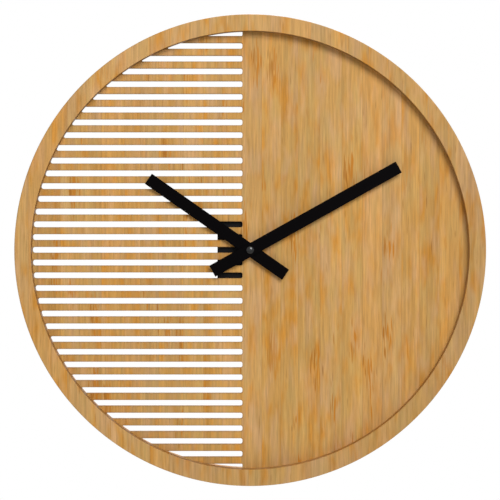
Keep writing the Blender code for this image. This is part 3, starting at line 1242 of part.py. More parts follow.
BAMBOO = finish("bamboo", (0.58, 0.36, 0.15), 0.55)
BLACK_SATIN = finish("black_satin", (0.010, 0.010, 0.010), 0.35)
BLACK_PLASTIC = finish("black_plastic", (0.015, 0.015, 0.016), 0.5)
BRASS = finish("brass", (0.72, 0.52, 0.22), 0.3, 1.0)
PLATED_STEEL = finish("plated_steel", (0.62, 0.62, 0.60), 0.3, 1.0)
RUBBER = finish("rubber", (0.02, 0.02, 0.02), 0.85)
WHITE_NYLON = finish("white_nylon", (0.80, 0.80, 0.76), 0.45)
MAGNET_BLACK = finish("magnet_black", (0.03, 0.03, 0.035), 0.4)
SOFT_IRON = finish("soft_iron", (0.40, 0.40, 0.42), 0.4, 1.0)
COPPER = finish("copper", (0.70, 0.32, 0.16), 0.35, 1.0)
LAMINATE = finish("laminate", (0.10, 0.25, 0.10), 0.5)
BATTERY_SLEEVE = finish("battery_sleeve", (0.12, 0.14, 0.17), 0.35)

build_rim(BAMBOO)
build_panel(BAMBOO)
build_hanger(PLATED_STEEL)
build_case(BLACK_PLASTIC)
build_cover(BLACK_PLASTIC)
build_bush(BRASS)
build_dial_fixings(RUBBER, BRASS)
build_hour_hand(BLACK_SATIN)
build_minute_hand(BLACK_SATIN)
build_cap_nut(BLACK_SATIN)
build_minute_arbor(BRASS)
build_setting_wheel(WHITE_NYLON)
build_hour_wheel(WHITE_NYLON)
build_setting_knob(BLACK_PLASTIC)
build_centre_wheel(WHITE_NYLON)
build_third_wheel(WHITE_NYLON)
build_seconds_wheel(WHITE_NYLON)
build_intermediate_wheel(WHITE_NYLON)
build_rotor(WHITE_NYLON, MAGNET_BLACK)
build_plates(WHITE_NYLON)
build_stator(SOFT_IRON)
build_coil(SOFT_IRON, WHITE_NYLON, COPPER)
build_board(LAMINATE, MAGNET_BLACK, PLATED_STEEL)
build_battery(BATTERY_SLEEVE)
build_contact("positive_contact", 1, PLATED_STEEL)
build_contact("negative_contact", -1, PLATED_STEEL)
build_lead(PLATED_STEEL)
build_spring(PLATED_STEEL)
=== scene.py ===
# %% [markdown]
# # A round bamboo wall clock
# The clock in the picture is a bamboo ring with a thin slotted dial set into it. Two flat black
# hands turn in front of the dial, and a quartz movement sits behind it. The measured model of
# every piece is loaded first as a fixed frame, and this lesson then gives each piece its looks.

# %% Load the measured model
import json
import math

import bmesh
import bpy
import numpy as np
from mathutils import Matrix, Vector
from mathutils.geometry import tessellate_polygon

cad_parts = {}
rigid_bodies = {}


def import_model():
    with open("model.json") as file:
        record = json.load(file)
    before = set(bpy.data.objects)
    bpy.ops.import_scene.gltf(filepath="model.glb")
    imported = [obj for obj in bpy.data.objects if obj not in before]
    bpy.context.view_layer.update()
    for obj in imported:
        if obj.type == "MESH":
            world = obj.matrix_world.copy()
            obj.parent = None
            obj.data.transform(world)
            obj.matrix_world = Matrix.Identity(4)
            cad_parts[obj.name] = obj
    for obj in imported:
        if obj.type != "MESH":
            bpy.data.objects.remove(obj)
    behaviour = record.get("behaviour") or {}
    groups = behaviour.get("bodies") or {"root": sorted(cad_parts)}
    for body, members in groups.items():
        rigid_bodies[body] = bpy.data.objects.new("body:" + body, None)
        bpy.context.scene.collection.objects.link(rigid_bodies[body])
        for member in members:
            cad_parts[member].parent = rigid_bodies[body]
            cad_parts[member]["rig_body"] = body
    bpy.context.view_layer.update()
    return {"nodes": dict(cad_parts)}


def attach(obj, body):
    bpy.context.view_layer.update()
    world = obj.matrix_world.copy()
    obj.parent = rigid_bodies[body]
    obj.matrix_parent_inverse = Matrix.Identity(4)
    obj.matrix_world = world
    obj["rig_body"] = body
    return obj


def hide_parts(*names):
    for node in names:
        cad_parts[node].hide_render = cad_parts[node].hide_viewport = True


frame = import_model()

# %% [markdown]
# ## Millimetres on the dial
# A clockmaker measures from the arbor in the middle of the dial, in millimetres: x to the right,
# y up, and the height in front of the wall. Blender's frame is in metres, its origin is the nail,
# and the clock faces -Y. One small function is enough to go from the first to the second, so
# all shapes below can be written with the numbers that a maker would use.

# %% From the dial to the room
MM = 0.001
NAIL = 190.5
RIM_DEPTH = 36.0


def to_room(points):
    """x stays, y is measured from the nail, and a height in front of the wall runs along -Y."""
    x, y, height = np.moveaxis(np.asarray(points, float), -1, 0)
    return np.stack([x, -height, y - NAIL], axis=-1) * MM


print("the arbor at the front of the rim:", to_room([0, 0, RIM_DEPTH]))

# %% [markdown]
# ## The camera
# The picture is taken from the front with a long lens, and the camera stands a little above the
# middle of the clock: more of the underside of the upper lip shows than of the lower. Tilting the
# camera would turn the round rim into an oval. A shifted lens keeps the rim round, as the lens
# of a product photographer does, so the camera looks straight ahead and the picture moves down.

# %% Place the camera
CAMERA_DISTANCE = 1500.0
CAMERA_RISE = 40.0
PICTURE_WIDTH = 423.65
PICTURE_PIXELS = 500
CENTRE_PIXEL = 250.18


def placed(name, data):
    """A new object in the scene, made of that camera, lamp or mesh."""
    made = bpy.data.objects.new(name, data)
    bpy.context.scene.collection.objects.link(made)
    return made


camera = bpy.data.cameras.new("camera")
camera.sensor_width = 36.0
camera.lens = camera.sensor_width * CAMERA_DISTANCE / PICTURE_WIDTH
off_centre = (CENTRE_PIXEL / PICTURE_PIXELS - 0.5) * PICTURE_WIDTH
camera.shift_y = (off_centre - CAMERA_RISE) / PICTURE_WIDTH
camera.clip_start = 0.01
camera.clip_end = 20
viewer = placed("camera", camera)
viewer.location = to_room([-off_centre, CAMERA_RISE, RIM_DEPTH + CAMERA_DISTANCE])
viewer.rotation_euler = (math.pi / 2, 0, 0)
bpy.context.scene.camera = viewer
print("lens", round(camera.lens, 1), "mm, shift", round(camera.shift_y, 4))

# %% [markdown]
# ## Light, floor and background
# The lip of the rim throws a soft shadow on the upper right of the dial, so the main lamp hangs
# to the upper right in front of the clock. It is more than a metre wide: a small lamp would give
# a hard shadow. A second lamp hangs high behind the clock, for its back and the floor, which the
# picture doesn't show. The rest of the light comes from all round, and the camera sees the
# surroundings as plain white.

# %% Set up the lamps


def hang_lamp(name, away, tilt, bearing, width, watts):
    """A round lamp some metres away: tilt leans it off the dial's axis, towards the bearing."""
    light = bpy.data.lights.new(name, "AREA")
    light.shape = "DISK"
    light.size = width
    light.energy = watts
    made = placed(name, light)
    tilt, bearing = math.radians(tilt), math.radians(bearing)
    lean = math.sin(tilt)
    towards = Vector((lean * math.cos(bearing), -math.cos(tilt), lean * math.sin(bearing)))
    made.location = Vector(to_room([0, 0, RIM_DEPTH])) + away * towards
    made.rotation_euler = towards.to_track_quat("Z", "Y").to_euler()
    print(name, "at", [round(c, 2) for c in made.location])


hang_lamp("main_lamp", away=2.6, tilt=29, bearing=62, width=1.4, watts=49.0)
hang_lamp("back_lamp", away=2.9, tilt=124, bearing=82, width=2.0, watts=105)

# %% Make the room: even light, seen as white
AMBIENT = 0.12


def seen_directly(tree):
    """1 for what the camera sees, also in metal or through glass, and 0 for light on the way."""
    rays = tree.nodes.new("ShaderNodeLightPath")
    seen = rays.outputs["Is Camera Ray"]
    for kind in ("Is Glossy Ray", "Is Transmission Ray"):
        larger = tree.nodes.new("ShaderNodeMath")
        larger.operation = "MAXIMUM"
        tree.links.new(seen, larger.inputs[0])
        tree.links.new(rays.outputs[kind], larger.inputs[1])
        seen = larger.outputs[0]
    return seen


world = bpy.data.worlds.new("studio")
world.use_nodes = True
bpy.context.scene.world = world
bpy.context.scene.view_settings.view_transform = "Standard"
tree = world.node_tree
level = tree.nodes.new("ShaderNodeMapRange")
level.inputs["To Min"].default_value = AMBIENT
level.inputs["To Max"].default_value = 1.0
tree.links.new(seen_directly(tree), level.inputs["Value"])
sky = tree.nodes["Background"]
sky.inputs["Color"].default_value = (1, 1, 1, 1)
tree.links.new(level.outputs["Result"], sky.inputs["Strength"])
print("even light", AMBIENT)

# %% [markdown]
# ## Shapes from numbers
# Nearly every piece of a clock is either turned on a lathe or cut from sheet. A turned piece is
# a profile carried round a circle, and a sheet piece is an outline with a softened edge. Both
# are grids of points worked out in one go, so two short functions make most of the clock.
# Modelling by hand would work as well, but here each size stays a number that can be read.

# %% A grid of points becomes quads


def net(points, across=False, along=False):
    """Faces between the points of a grid: point (i, j) is joined to its next row and column."""
    rows, columns = points.shape[:2]
    i = np.arange(rows if along else rows - 1)[:, None]
    j = np.arange(columns if across else columns - 1)[None, :]
    k, m = (i + 1) % rows, (j + 1) % columns
    corners = np.broadcast_arrays(i * columns + j, i * columns + m, k * columns + m, k * columns + j)
    return points.reshape(-1, 3), [np.stack(corners, axis=-1).reshape(-1, 4)]


def together(*shapes):
    """Several shapes as one: face numbers are raised by the number of points before them."""
    before = np.cumsum([0] + [len(points) for points, _ in shapes])
    faces = [group + start for start, (_, groups) in zip(before, shapes) for group in groups]
    return np.concatenate([points for points, _ in shapes]), faces


# %% A turned piece
SAME_POINT = 1e-6


def angles(steps):
    """Equal steps once round, as a column."""
    return np.linspace(0, 2 * np.pi, steps, endpoint=False)[:, None]


def grid_round(r, h, at=(0, 0), closed=False):
    """x = r cos a, y = r sin a: one row of radii for each angle, one column for each height."""
    a = angles(len(r))
    points = np.stack([at[0] + r * np.cos(a), at[1] + r * np.sin(a), h + 0 * a], axis=-1)
    return net(points, across=closed, along=True)


def turned(profile, steps, at=(0, 0), closed=False):
    """The same radii at every angle: each (r, h) of the profile goes once round the axis."""
    r, h = np.asarray(profile, float).T
    return grid_round(np.tile(r, (steps, 1)), h, at, closed)


def softened(corners, radii, steps=4):
    """Each corner C becomes the curve (1-t)^2 A + 2t(1-t) C + t^2 B, A and B a radius from C."""
    corners = np.asarray(corners, float)
    radii = np.broadcast_to(np.asarray(radii, float), len(corners))[:, None]
    back = np.roll(corners, 1, axis=0) - corners
    on = np.roll(corners, -1, axis=0) - corners
    a = corners + radii * back / np.linalg.norm(back, axis=1, keepdims=True)
    b = corners + radii * on / np.linalg.norm(on, axis=1, keepdims=True)
    t = np.linspace(0, 1, steps + 1)[:, None, None]
    curve = (1 - t) ** 2 * a + 2 * t * (1 - t) * corners + t ** 2 * b
    points = curve.transpose(1, 0, 2).reshape(-1, 2)
    apart = np.linalg.norm(points - np.roll(points, 1, axis=0), axis=1) > SAME_POINT
    return points[apart]


def circle(radius, steps):
    """(x, y) = radius (cos a, sin a), once round."""
    a = angles(steps)
    return np.hstack([radius * np.cos(a), radius * np.sin(a)])


# %% A piece cut from sheet


def moved_in(outline, amount):
    """Each point moves into the material, along the bisector of its two sides' normals."""
    side = np.roll(outline, -1, axis=0) - outline
    side /= np.linalg.norm(side, axis=1, keepdims=True)
    inward = np.stack([-side[:, 1], side[:, 0]], axis=-1)
    before = np.roll(inward, 1, axis=0)
    mitre = (inward + before) / (1 + (inward * before).sum(axis=1, keepdims=True))
    return outline + amount * mitre


def facing(outline, solid):
    """The outline with the material on its left: outer ones run anticlockwise, holes clockwise."""
    x, y = outline.T
    area = (x * np.roll(y, -1) - np.roll(x, -1) * y).sum()
    return outline if (area > 0) == solid else outline[::-1]


def sheet_piece(outlines, back, front, edge, steps=3):
    """Walls round every outline with a quarter-round edge, and a flat fill on both faces."""
    outlines = [facing(np.asarray(o, float), i == 0) for i, o in enumerate(outlines)]
    a = np.linspace(0, np.pi / 2, steps + 1)
    inset = edge * np.concatenate([1 - np.sin(a), 1 - np.sin(a[::-1])])
    height = np.concatenate([back + edge * (1 - np.cos(a)), front - edge * (1 - np.cos(a[::-1]))])
    shapes = []
    for outline in outlines:
        rings = [np.column_stack([moved_in(outline, i), np.full(len(outline), h)])
                 for i, h in zip(inset, height)]
        shapes.append(net(np.array(rings), across=True))
    rims = [moved_in(outline, inset[0]) for outline in outlines]
    fill = np.array(tessellate_polygon([[(x, y, 0) for x, y in rim] for rim in rims]))
    flat = np.concatenate(rims)
    for h in (back, front):
        shapes.append((np.column_stack([flat, np.full(len(flat), h)]), [fill]))
    return together(*shapes)


def turned_in_plane(shape, angle):
    """Turns a shape about the arbor: (x, y) times the rotation by the angle."""
    points, faces = shape
    c, s = math.cos(angle), math.sin(angle)
    x, y, h = points.T
    return np.column_stack([c * x - s * y, s * x + c * y, h]), faces


# %% From a shape to a piece of the clock
CREASE = math.radians(32)
STRAIGHT_ON = 0.9999


def of_faces(mesh, what):
    """One vector for each face: its normal, or its middle, which Blender calls center."""
    values = np.empty(len(mesh.polygons) * 3)
    mesh.polygons.foreach_get(what, values)
    return values.reshape(-1, 3)


def shade(mesh, crease):
    """Smooth, apart from sharp creases and the flat faces that are parallel to the dial."""
    mesh.set_sharp_from_angle(angle=crease)
    mesh.polygons.foreach_set("use_smooth", np.abs(of_faces(mesh, "normal")[:, 1]) < STRAIGHT_ON)
    mesh.update()


def welded(mesh):
    """A mesh opened for changes, with the points that share a place joined."""
    weld = bmesh.new()
    weld.from_mesh(mesh)
    bmesh.ops.remove_doubles(weld, verts=weld.verts, dist=SAME_POINT)
    return weld


def closed_mesh(name, shape):
    """Puts points and faces into a mesh, welds the seam and turns all faces outwards."""
    points, faces = shape
    mesh = bpy.data.meshes.new(name)
    mesh.from_pydata(to_room(points).tolist(), [], [face for group in faces for face in group.tolist()])
    weld = welded(mesh)
    bmesh.ops.recalc_face_normals(weld, faces=weld.faces)
    weld.to_mesh(mesh)
    open_edges = sum(1 for edge in weld.edges if len(edge.link_faces) != 2)
    weld.free()
    print(f"{name}: {len(mesh.vertices)} points, {len(mesh.polygons)} faces, {open_edges} open edges")
    return mesh


def hung(name, mesh, finish, body, stands_for):
    """Makes a mesh a piece of the clock: its finish, its body, and the nodes that it stands for."""
    mesh.materials.clear()
    mesh.materials.append(finish)
    made = placed(name, mesh)
    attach(made, body)
    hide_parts(*stands_for)
    return made


def piece(name, shape, finish, body, stands_for, crease=CREASE):
    """From a shape to a piece: closed, shaded and hung."""
    mesh = closed_mesh(name, shape)
    shade(mesh, crease)
    return hung(name, mesh, finish, body, stands_for)


# %% [markdown]
# ## Finishes
# A finish is a small network of nodes. Writing "add a node, set it, link it" in full for each
# would hide the recipe, so one helper adds a node and feeds it: a feed is either a number or the
# output of another node. Colours are written as a screen shows them and turned into light values.

# %% Helpers for finishes
NOISE_LOW, NOISE_HIGH = 0.3, 0.7


def light_value(*shown):
    """A colour as a screen shows it, 0 to 255, as linear light: ((c + 0.055) / 1.055) ^ 2.4."""
    c = np.array(shown) / 255
    return (*np.where(c > 0.04045, ((c + 0.055) / 1.055) ** 2.4, c / 12.92).tolist(), 1)


class Recipe:
    """A finish under way: its nodes, and the shader that they feed."""

    def __init__(self, name, colour, roughness, metallic=0.0, specular=0.5):
        self.material = bpy.data.materials.new(name)
        self.material.use_nodes = True
        self.nodes = self.material.node_tree.nodes
        self.links = self.material.node_tree.links
        self.shader = self.nodes["Principled BSDF"]
        for socket, value in (("Base Color", colour), ("Roughness", roughness), ("Metallic", metallic),
                              ("Specular IOR Level", specular)):
            self.shader.inputs[socket].default_value = value
        self.material.diffuse_color = colour
        self.place = self.add("TexCoord").outputs["Object"]

    def add(self, kind, feeds=None, **settings):
        """A node of that kind, with its settings and what feeds each of its inputs."""
        node = self.nodes.new("ShaderNode" + kind)
        for name, value in settings.items():
            setattr(node, name, value)
        for key, value in (feeds or {}).items():
            self.feed(node.inputs[key], value)
        return node

    def feed(self, socket, value):
        """Links a node's output to the socket, or sets the socket to a plain value."""
        if isinstance(value, bpy.types.NodeSocket):
            self.links.new(value, socket)
        else:
            socket.default_value = value

    def sum(self, operation, a, b=0.0, c=0.0):
        """Arithmetic with up to three values."""
        return self.add("Math", {0: a, 1: b, 2: c}, operation=operation).outputs[0]

    def xyz(self):
        """The object coordinates one by one."""
        return self.add("SeparateXYZ", {0: self.place}).outputs

    def noise(self, vector, detail=2.0, rough=0.5):
        """Smooth noise with a grain of one unit of its vector. Most of it lies from 0.3 to 0.7."""
        feeds = {"Vector": vector, "Scale": 1.0, "Detail": detail, "Roughness": rough}
        return self.add("TexNoise", feeds).outputs

    def cloud(self, *scale, detail=2.0):
        """Noise in the object coordinates times a scale, given per millimetre."""
        place = self.add("Mapping", {"Vector": self.place, "Scale": [s / MM for s in scale]})
        return self.noise(place.outputs[0], detail)["Fac"]

    def wave(self, value, pitch):
        """sin(2 pi value / pitch), with the pitch in millimetres."""
        return self.sum("SINE", self.sum("MULTIPLY", value, 2 * math.pi / (pitch * MM)))

    def span(self, value, low, high, to_low=0.0, to_high=1.0, smooth=False):
        """Stretches a value: low becomes to_low and high becomes to_high."""
        node = self.add("MapRange", {"Value": value, "From Min": low, "From Max": high,
                                     "To Min": to_low, "To Max": to_high},
                        interpolation_type="SMOOTHSTEP" if smooth else "LINEAR")
        return node.outputs["Result"]

    def blend(self, share, a, b, kind="MIX"):
        """From colour a at share 0 to colour b at share 1."""
        node = self.add("Mix", data_type="RGBA", blend_type=kind)
        self.feed(node.inputs[0], share)
        self.feed(node.inputs[6], a)
        self.feed(node.inputs[7], b)
        return node.outputs[2]

    def tones(self, pattern, dark, bright, low=NOISE_LOW):
        """Noise moves the colour between two tones, given as a screen shows them."""
        return self.blend(self.span(pattern, low, NOISE_HIGH), light_value(*dark), light_value(*bright))

    def bump(self, height, depth_mm, strength=1.0):
        """Tilts the light as if the surface rose by that depth from height 0 to height 1."""
        node = self.add("Bump", {"Height": height, "Distance": depth_mm * MM, "Strength": strength})
        self.feed(self.shader.inputs["Normal"], node.outputs["Normal"])

    def colour(self, value):
        self.feed(self.shader.inputs["Base Color"], value)

    def roughness(self, pattern, smooth, rough, low=NOISE_LOW):
        """Noise moves the roughness between two values."""
        self.feed(self.shader.inputs["Roughness"], self.span(pattern, low, NOISE_HIGH, smooth, rough))


# %% [markdown]
# ## Bamboo
# Bamboo board is made of strips, each cut from one cane and glued side by side, about 17 mm
# wide, and of layers of such strips. Seen close it is all long fibres: some yellow, some orange,
# some pinkish or greenish, with short dark dashes between them and, here and there, a
# flame-shaped orange mark where the cane had a node. A photograph of wood would repeat itself
# and could not turn the corner to the edges. Noise that is stretched along the grain works in
# three dimensions, so the end grain on top of the rim comes out as dots by itself.

# %% Name the colours and sizes of bamboo
FIBRE = light_value(203, 155, 86)
ORANGE_FIBRE = light_value(205, 140, 52)
PINK_FIBRE = light_value(206, 163, 114)
GREEN_FIBRE = light_value(198, 162, 98)
DASH_BROWN = light_value(140, 92, 38)
FLAME_ORANGE = light_value(196, 124, 34)
FLAME_DOT = light_value(224, 172, 92)
GLUE_BROWN = light_value(150, 110, 66)
SCORCH_AND_SHADE_BROWN = light_value(112, 88, 62)
STRIP_WIDTH = 17.0
FLAME_WIDTH = 16.0
FLAME_LENGTH = 62.0


def long_cells(b, grain, width, length, **more):
    """Coordinates that grow by one in each width (in mm) across the grain and length along it."""
    scale = (1 / (width * MM), 1 / (width * MM), 1 / (length * MM))
    return b.add("Mapping", {"Vector": grain, "Scale": scale, **more}).outputs[0]


def stretched(b, grain, width, length, **more):
    """Noise stretched along z, and turned after that, so that its own grid doesn't show."""
    return b.noise(long_cells(b, grain, width, length, Rotation=(0.7, 0.5, 0.9)), **more)


# %% Mark where the cane had a node


def flames(b, grain, dash, colour, share):
    """Half of the cells hold an orange flame with ragged edges, dark on its left, and a bright dot."""
    cells = long_cells(b, grain, FLAME_WIDTH, FLAME_LENGTH)
    mark = b.add("TexVoronoi", {"Vector": cells, "Scale": 1.0}, feature="F1").outputs
    chance = b.add("SeparateColor", {0: mark["Color"]}).outputs[0]
    chosen = b.span(chance, 0.45, 0.55, 0, share)
    ragged = b.sum("MULTIPLY_ADD", b.sum("SUBTRACT", dash, 0.5), 0.9, mark["Distance"])
    flame = b.sum("MULTIPLY", b.span(ragged, 0.07, 0.27, 0.9, 0.0, smooth=True), chosen)
    colour = b.blend(flame, colour, FLAME_ORANGE)
    here = b.add("SeparateXYZ", {0: cells}).outputs[0]
    centre = b.add("SeparateXYZ", {0: mark["Position"]}).outputs[0]
    left = b.span(b.sum("SUBTRACT", here, centre), -0.03, -0.09, 0.0, 0.45)
    colour = b.blend(b.sum("MULTIPLY", flame, left), colour, DASH_BROWN)
    dot = b.sum("MULTIPLY", b.span(mark["Distance"], 0.03, 0.07, 0.8, 0.0, smooth=True), chosen)
    return b.blend(dot, colour, FLAME_DOT)


# %% Mix the bamboo
RIM_RADIUS = 200.0
LAYER_SHIFT = 0.37
STRIP_SLIDE = 0.9


def bamboo(name, shift, layer, first_layer, base=FIBRE, light=1.0, drift=(0, 0), marks=1.0, scorch_and_shade=None):
    """Noise of several widths colours the fibres. Strips and layers shift it. Drift tilts the tone."""
    b = Recipe(name, base, 0.5, specular=0.12)
    x, y, z = b.xyz()
    depth = b.sum("MULTIPLY_ADD", y, -1 / (layer * MM), 1 - first_layer / layer)
    start = b.sum("MULTIPLY_ADD", b.sum("FLOOR", depth), LAYER_SHIFT, shift)
    across = b.sum("MULTIPLY_ADD", x, 1 / (STRIP_WIDTH * MM), start)
    feeds = {"W": across, "Scale": 1.0, "Randomness": 0.5}
    strip, edge = (b.add("TexVoronoi", feeds, voronoi_dimensions="1D", feature=feature).outputs
                   for feature in ("F1", "DISTANCE_TO_EDGE"))
    chance = b.add("SeparateColor", {0: strip["Color"]}).outputs
    slide = b.sum("MULTIPLY_ADD", chance[0], STRIP_SLIDE, z)
    grain = b.add("CombineXYZ", {0: b.sum("ADD", x, shift), 1: y, 2: slide}).outputs[0]

    fine = stretched(b, grain, 1.6, 28, detail=3.0, rough=0.6)["Fac"]
    streak = stretched(b, grain, 4.0, 140, detail=1.0)["Fac"]
    broad = stretched(b, grain, 14, 190, detail=1.0)["Fac"]
    dash = stretched(b, grain, 1.1, 15, detail=0.0)["Fac"]
    tint = b.add("SeparateColor", {0: stretched(b, grain, 10.0, 34, detail=2.0)["Color"]}).outputs

    colour = base
    for pattern, low, high, most, fibre in (
            (tint[0], 0.48, 0.64, 0.9, ORANGE_FIBRE), (tint[1], 0.45, 0.66, 0.8, PINK_FIBRE),
            (tint[2], 0.48, 0.68, 0.6, GREEN_FIBRE), (chance[1], 0.5, 1, 0.3, PINK_FIBRE),
            (chance[2], 0.5, 1, 0.25, ORANGE_FIBRE)):
        colour = b.blend(b.span(pattern, low, high, 0, most), colour, fibre)

    tone = b.sum("MULTIPLY_ADD", x, drift[0] / (RIM_RADIUS * MM), 1.0)
    tone = b.sum("MULTIPLY_ADD", b.sum("ADD", z, NAIL * MM), drift[1] / (RIM_RADIUS * MM), tone)
    for pattern, low, high, darkest, lightest in (
            (fine, 0.25, 0.75, 0.80, 1.19), (streak, 0.3, 0.7, 0.94, 1.06),
            (broad, 0.3, 0.7, 0.93, 1.07), (chance[0], 0, 1, 0.96 * light, 1.04 * light)):
        tone = b.sum("MULTIPLY", tone, b.span(pattern, low, high, darkest, lightest))
    grey = b.add("CombineXYZ", {0: tone, 1: tone, 2: tone}).outputs[0]
    colour = b.blend(1.0, colour, grey, "MULTIPLY")

    colour = b.blend(b.span(dash, 0.74, 0.90, 0, 0.6), colour, DASH_BROWN)
    colour = flames(b, grain, dash, colour, marks)
    colour = b.blend(b.span(edge["Distance"], 0.010, 0.025, 0.25, 0.0), colour, GLUE_BROWN)
    between = b.sum("PINGPONG", depth, 0.5)
    colour = b.blend(b.span(between, 0.05 / layer, 0.15 / layer, 0.45, 0.0), colour, GLUE_BROWN)
    # Near the slots the face browns: partly a scorch mark, partly painted shade of the slot walls.
    if scorch_and_shade:
        colour = b.blend(scorch_and_shade(b, x, z), colour, SCORCH_AND_SHADE_BROWN)
    b.colour(colour)
    b.roughness(fine, 0.42, 0.56)
    b.bump(fine, 0.06, 0.3)
    return b.material


rim_board = {"shift": 11.7, "layer": 12.0, "first_layer": 6.0}
dial_board = {"shift": 3.3, "layer": 1.6, "first_layer": 0.5}
rim_bamboo = bamboo("bamboo_rim", **rim_board, base=light_value(205, 160, 98), light=0.955,
                    drift=(-0.08, 0.065), marks=0.35)
# The lip's bamboo is a darker copy of the rim's: painted shade for the walls inside the rim, darker
# towards the top and a little lighter to the right.
shaded_lip_bamboo = bamboo("bamboo_lip_painted_shade", **rim_board, base=light_value(190, 136, 66), light=0.68,
                    drift=(0.15, -0.3))
# The slots' cut walls get a browner bamboo, darkened further with painted shade.
cut_and_shaded_bamboo = bamboo("bamboo_cut_edge_and_shade", **dial_board, base=light_value(170, 120, 62), light=0.6)
print("the bamboo of the rim, its lip and the cut edges is mixed")

# %% [markdown]
# ## The rim
# The rim is a deep ring with a thin lip in front. The dial panel lies behind the lip in a
# step called a rabbet, and the edges are only just broken with sandpaper. It is a plain turned
# piece: one closed profile carried round the axis in 360 steps, which leaves no corners to be
# seen. The pocket for the hanger is cut out of its back afterwards with a Boolean.

# %% Turn the rim
LIP_RADIUS = 185.9
RABBET_RADIUS = 188.9
LEDGE = 26.0

rim_profile = softened(
    [(LIP_RADIUS, RIM_DEPTH), (LIP_RADIUS, LEDGE), (RABBET_RADIUS, LEDGE), (RABBET_RADIUS, 0),
     (RIM_RADIUS, 0), (RIM_RADIUS, RIM_DEPTH)], [0.6, 0.2, 0.2, 0.5, 1.0, 1.0], steps=5)
rim_shape = turned(rim_profile, 360, closed=True)
print("the rim's profile has", len(rim_profile), "points")

# %% Cut the hanger's pocket
POCKET_DEPTH = 3.1
POCKET_HALF = 23.5
POCKET_BOTTOM = 165.0
POCKET_TOP = 196.7
LIP_WALLS = 190.0


def block(low, high, back, front, edge):
    """A box between two corners of the dial, from its back to its front, with softened edges."""
    corners = [low, (high[0], low[1]), high, (low[0], high[1])]
    return sheet_piece([corners], back, front, edge, steps=1)


def settle(made):
    """Works the modifiers of a piece into its mesh, so that what is kept is plain mesh."""
    bpy.context.view_layer.update()
    result = bpy.data.meshes.new_from_object(made.evaluated_get(bpy.context.evaluated_depsgraph_get()))
    made.modifiers.clear()
    made.data = result
    shade(result, CREASE)
    print(f"{made.name}: {len(result.polygons)} faces")


def carve(target, tool_shape):
    """Subtracts a closed shape from a piece."""
    tool = placed("cutter", closed_mesh("cutter", tool_shape))
    step = target.modifiers.new("cut", "BOOLEAN")
    step.operation = "DIFFERENCE"
    step.solver = "EXACT"
    step.object = tool
    settle(target)
    bpy.data.objects.remove(tool)


def paint(made, finish, chosen):
    """Gives a second finish to the faces picked by their middles (mm on the dial) and normals."""
    mesh = made.data
    x, back, z = of_faces(mesh, "center").T / MM
    picked = chosen(x, z + NAIL, -back, of_faces(mesh, "normal"))
    index = np.zeros(len(mesh.polygons), np.int32)
    mesh.polygons.foreach_get("material_index", index)
    index[picked] = len(mesh.materials)
    mesh.materials.append(finish)
    mesh.polygons.foreach_set("material_index", index)
    print(f"{made.name}: {int(picked.sum())} faces in {finish.name}")


rim = piece("rim_ring", rim_shape, rim_bamboo, "clock", ["rim"])
pocket = block((-POCKET_HALF, POCKET_BOTTOM), (POCKET_HALF, POCKET_TOP), -1, POCKET_DEPTH, edge=0.1)
carve(rim, pocket)
# The walls inside the rim, the lip's inner wall among them, get that darker bamboo: painted shade.
paint(rim, shaded_lip_bamboo, lambda x, y, h, n: (np.abs(n[:, 1]) < 0.6) & (np.hypot(x, y) < LIP_WALLS))

# %% [markdown]
# ## The slotted dial
# The dial is a 4 mm disc of bamboo plywood. Its left half is cut into bars by 35 slots, each as
# long as the lip allows, so the wall shows through. The slots' outlines follow from three
# numbers: the pitch, the slot's height and the line where the slots stop. A router leaves round
# corners, and the cut walls are browner than the face and darkened further with painted shade,
# so the walls get a finish of their own.

# %% Outline the slots
SLOT_PITCH = 10.88
SLOT_HEIGHT = 4.9
SLOT_STOP = -6.6
SLOT_CORNER = 1.8
LEFT_CORNER = 2.3
SLOT_END_RADIUS = 185.8
LAST_END_RADIUS = 187.2
LAST_END_STEPS = 8
PANEL_RADIUS = 188.6
HUB_HOLE = 4.4
ROWS = 17


def slot_outline(row):
    """Straight sides at pitch times row, plus and minus half the height; the left end is at the lip."""
    low, high = row * SLOT_PITCH - SLOT_HEIGHT / 2, row * SLOT_PITCH + SLOT_HEIGHT / 2
    outer = max(abs(low), abs(high))
    if math.hypot(SLOT_STOP, outer) < LAST_END_RADIUS:
        room = LEFT_CORNER + 0.05
        y = np.array([high, high - room, low + room, low])
        inner = max(low, -high, 0)
        reach = math.sqrt(SLOT_END_RADIUS ** 2 - inner ** 2)
        left = np.column_stack([-np.minimum(reach, np.sqrt(LAST_END_RADIUS ** 2 - y ** 2)), y])
        corners = np.concatenate([[(SLOT_STOP, low), (SLOT_STOP, high)], left])
        radii = [SLOT_CORNER, SLOT_CORNER, LEFT_CORNER, 0, 0, LEFT_CORNER]
    else:
        inner = low if row > 0 else high
        rise = math.copysign(math.sqrt(LAST_END_RADIUS ** 2 - SLOT_STOP ** 2), row)
        y = np.linspace(rise, inner, LAST_END_STEPS + 1)[1:]
        left = np.column_stack([-np.sqrt(LAST_END_RADIUS ** 2 - y ** 2), y])
        corners = np.concatenate([[(SLOT_STOP, inner), (SLOT_STOP, rise)], left])
        radii = [1.0, 0.4] + [0] * (LAST_END_STEPS - 1) + [0.8]
    return softened(corners, radii, steps=8)


panel_outlines = [circle(PANEL_RADIUS, 360), circle(HUB_HOLE, 48)]
panel_outlines += [slot_outline(row) for row in range(-ROWS, ROWS + 1)]
print(len(panel_outlines) - 2, "slots")

# %% Scorch the slots' edges, with painted shade
SCORCH_AND_SHADE_REACH = 1.1
SCORCH_AND_SHADE_MOST = 0.4


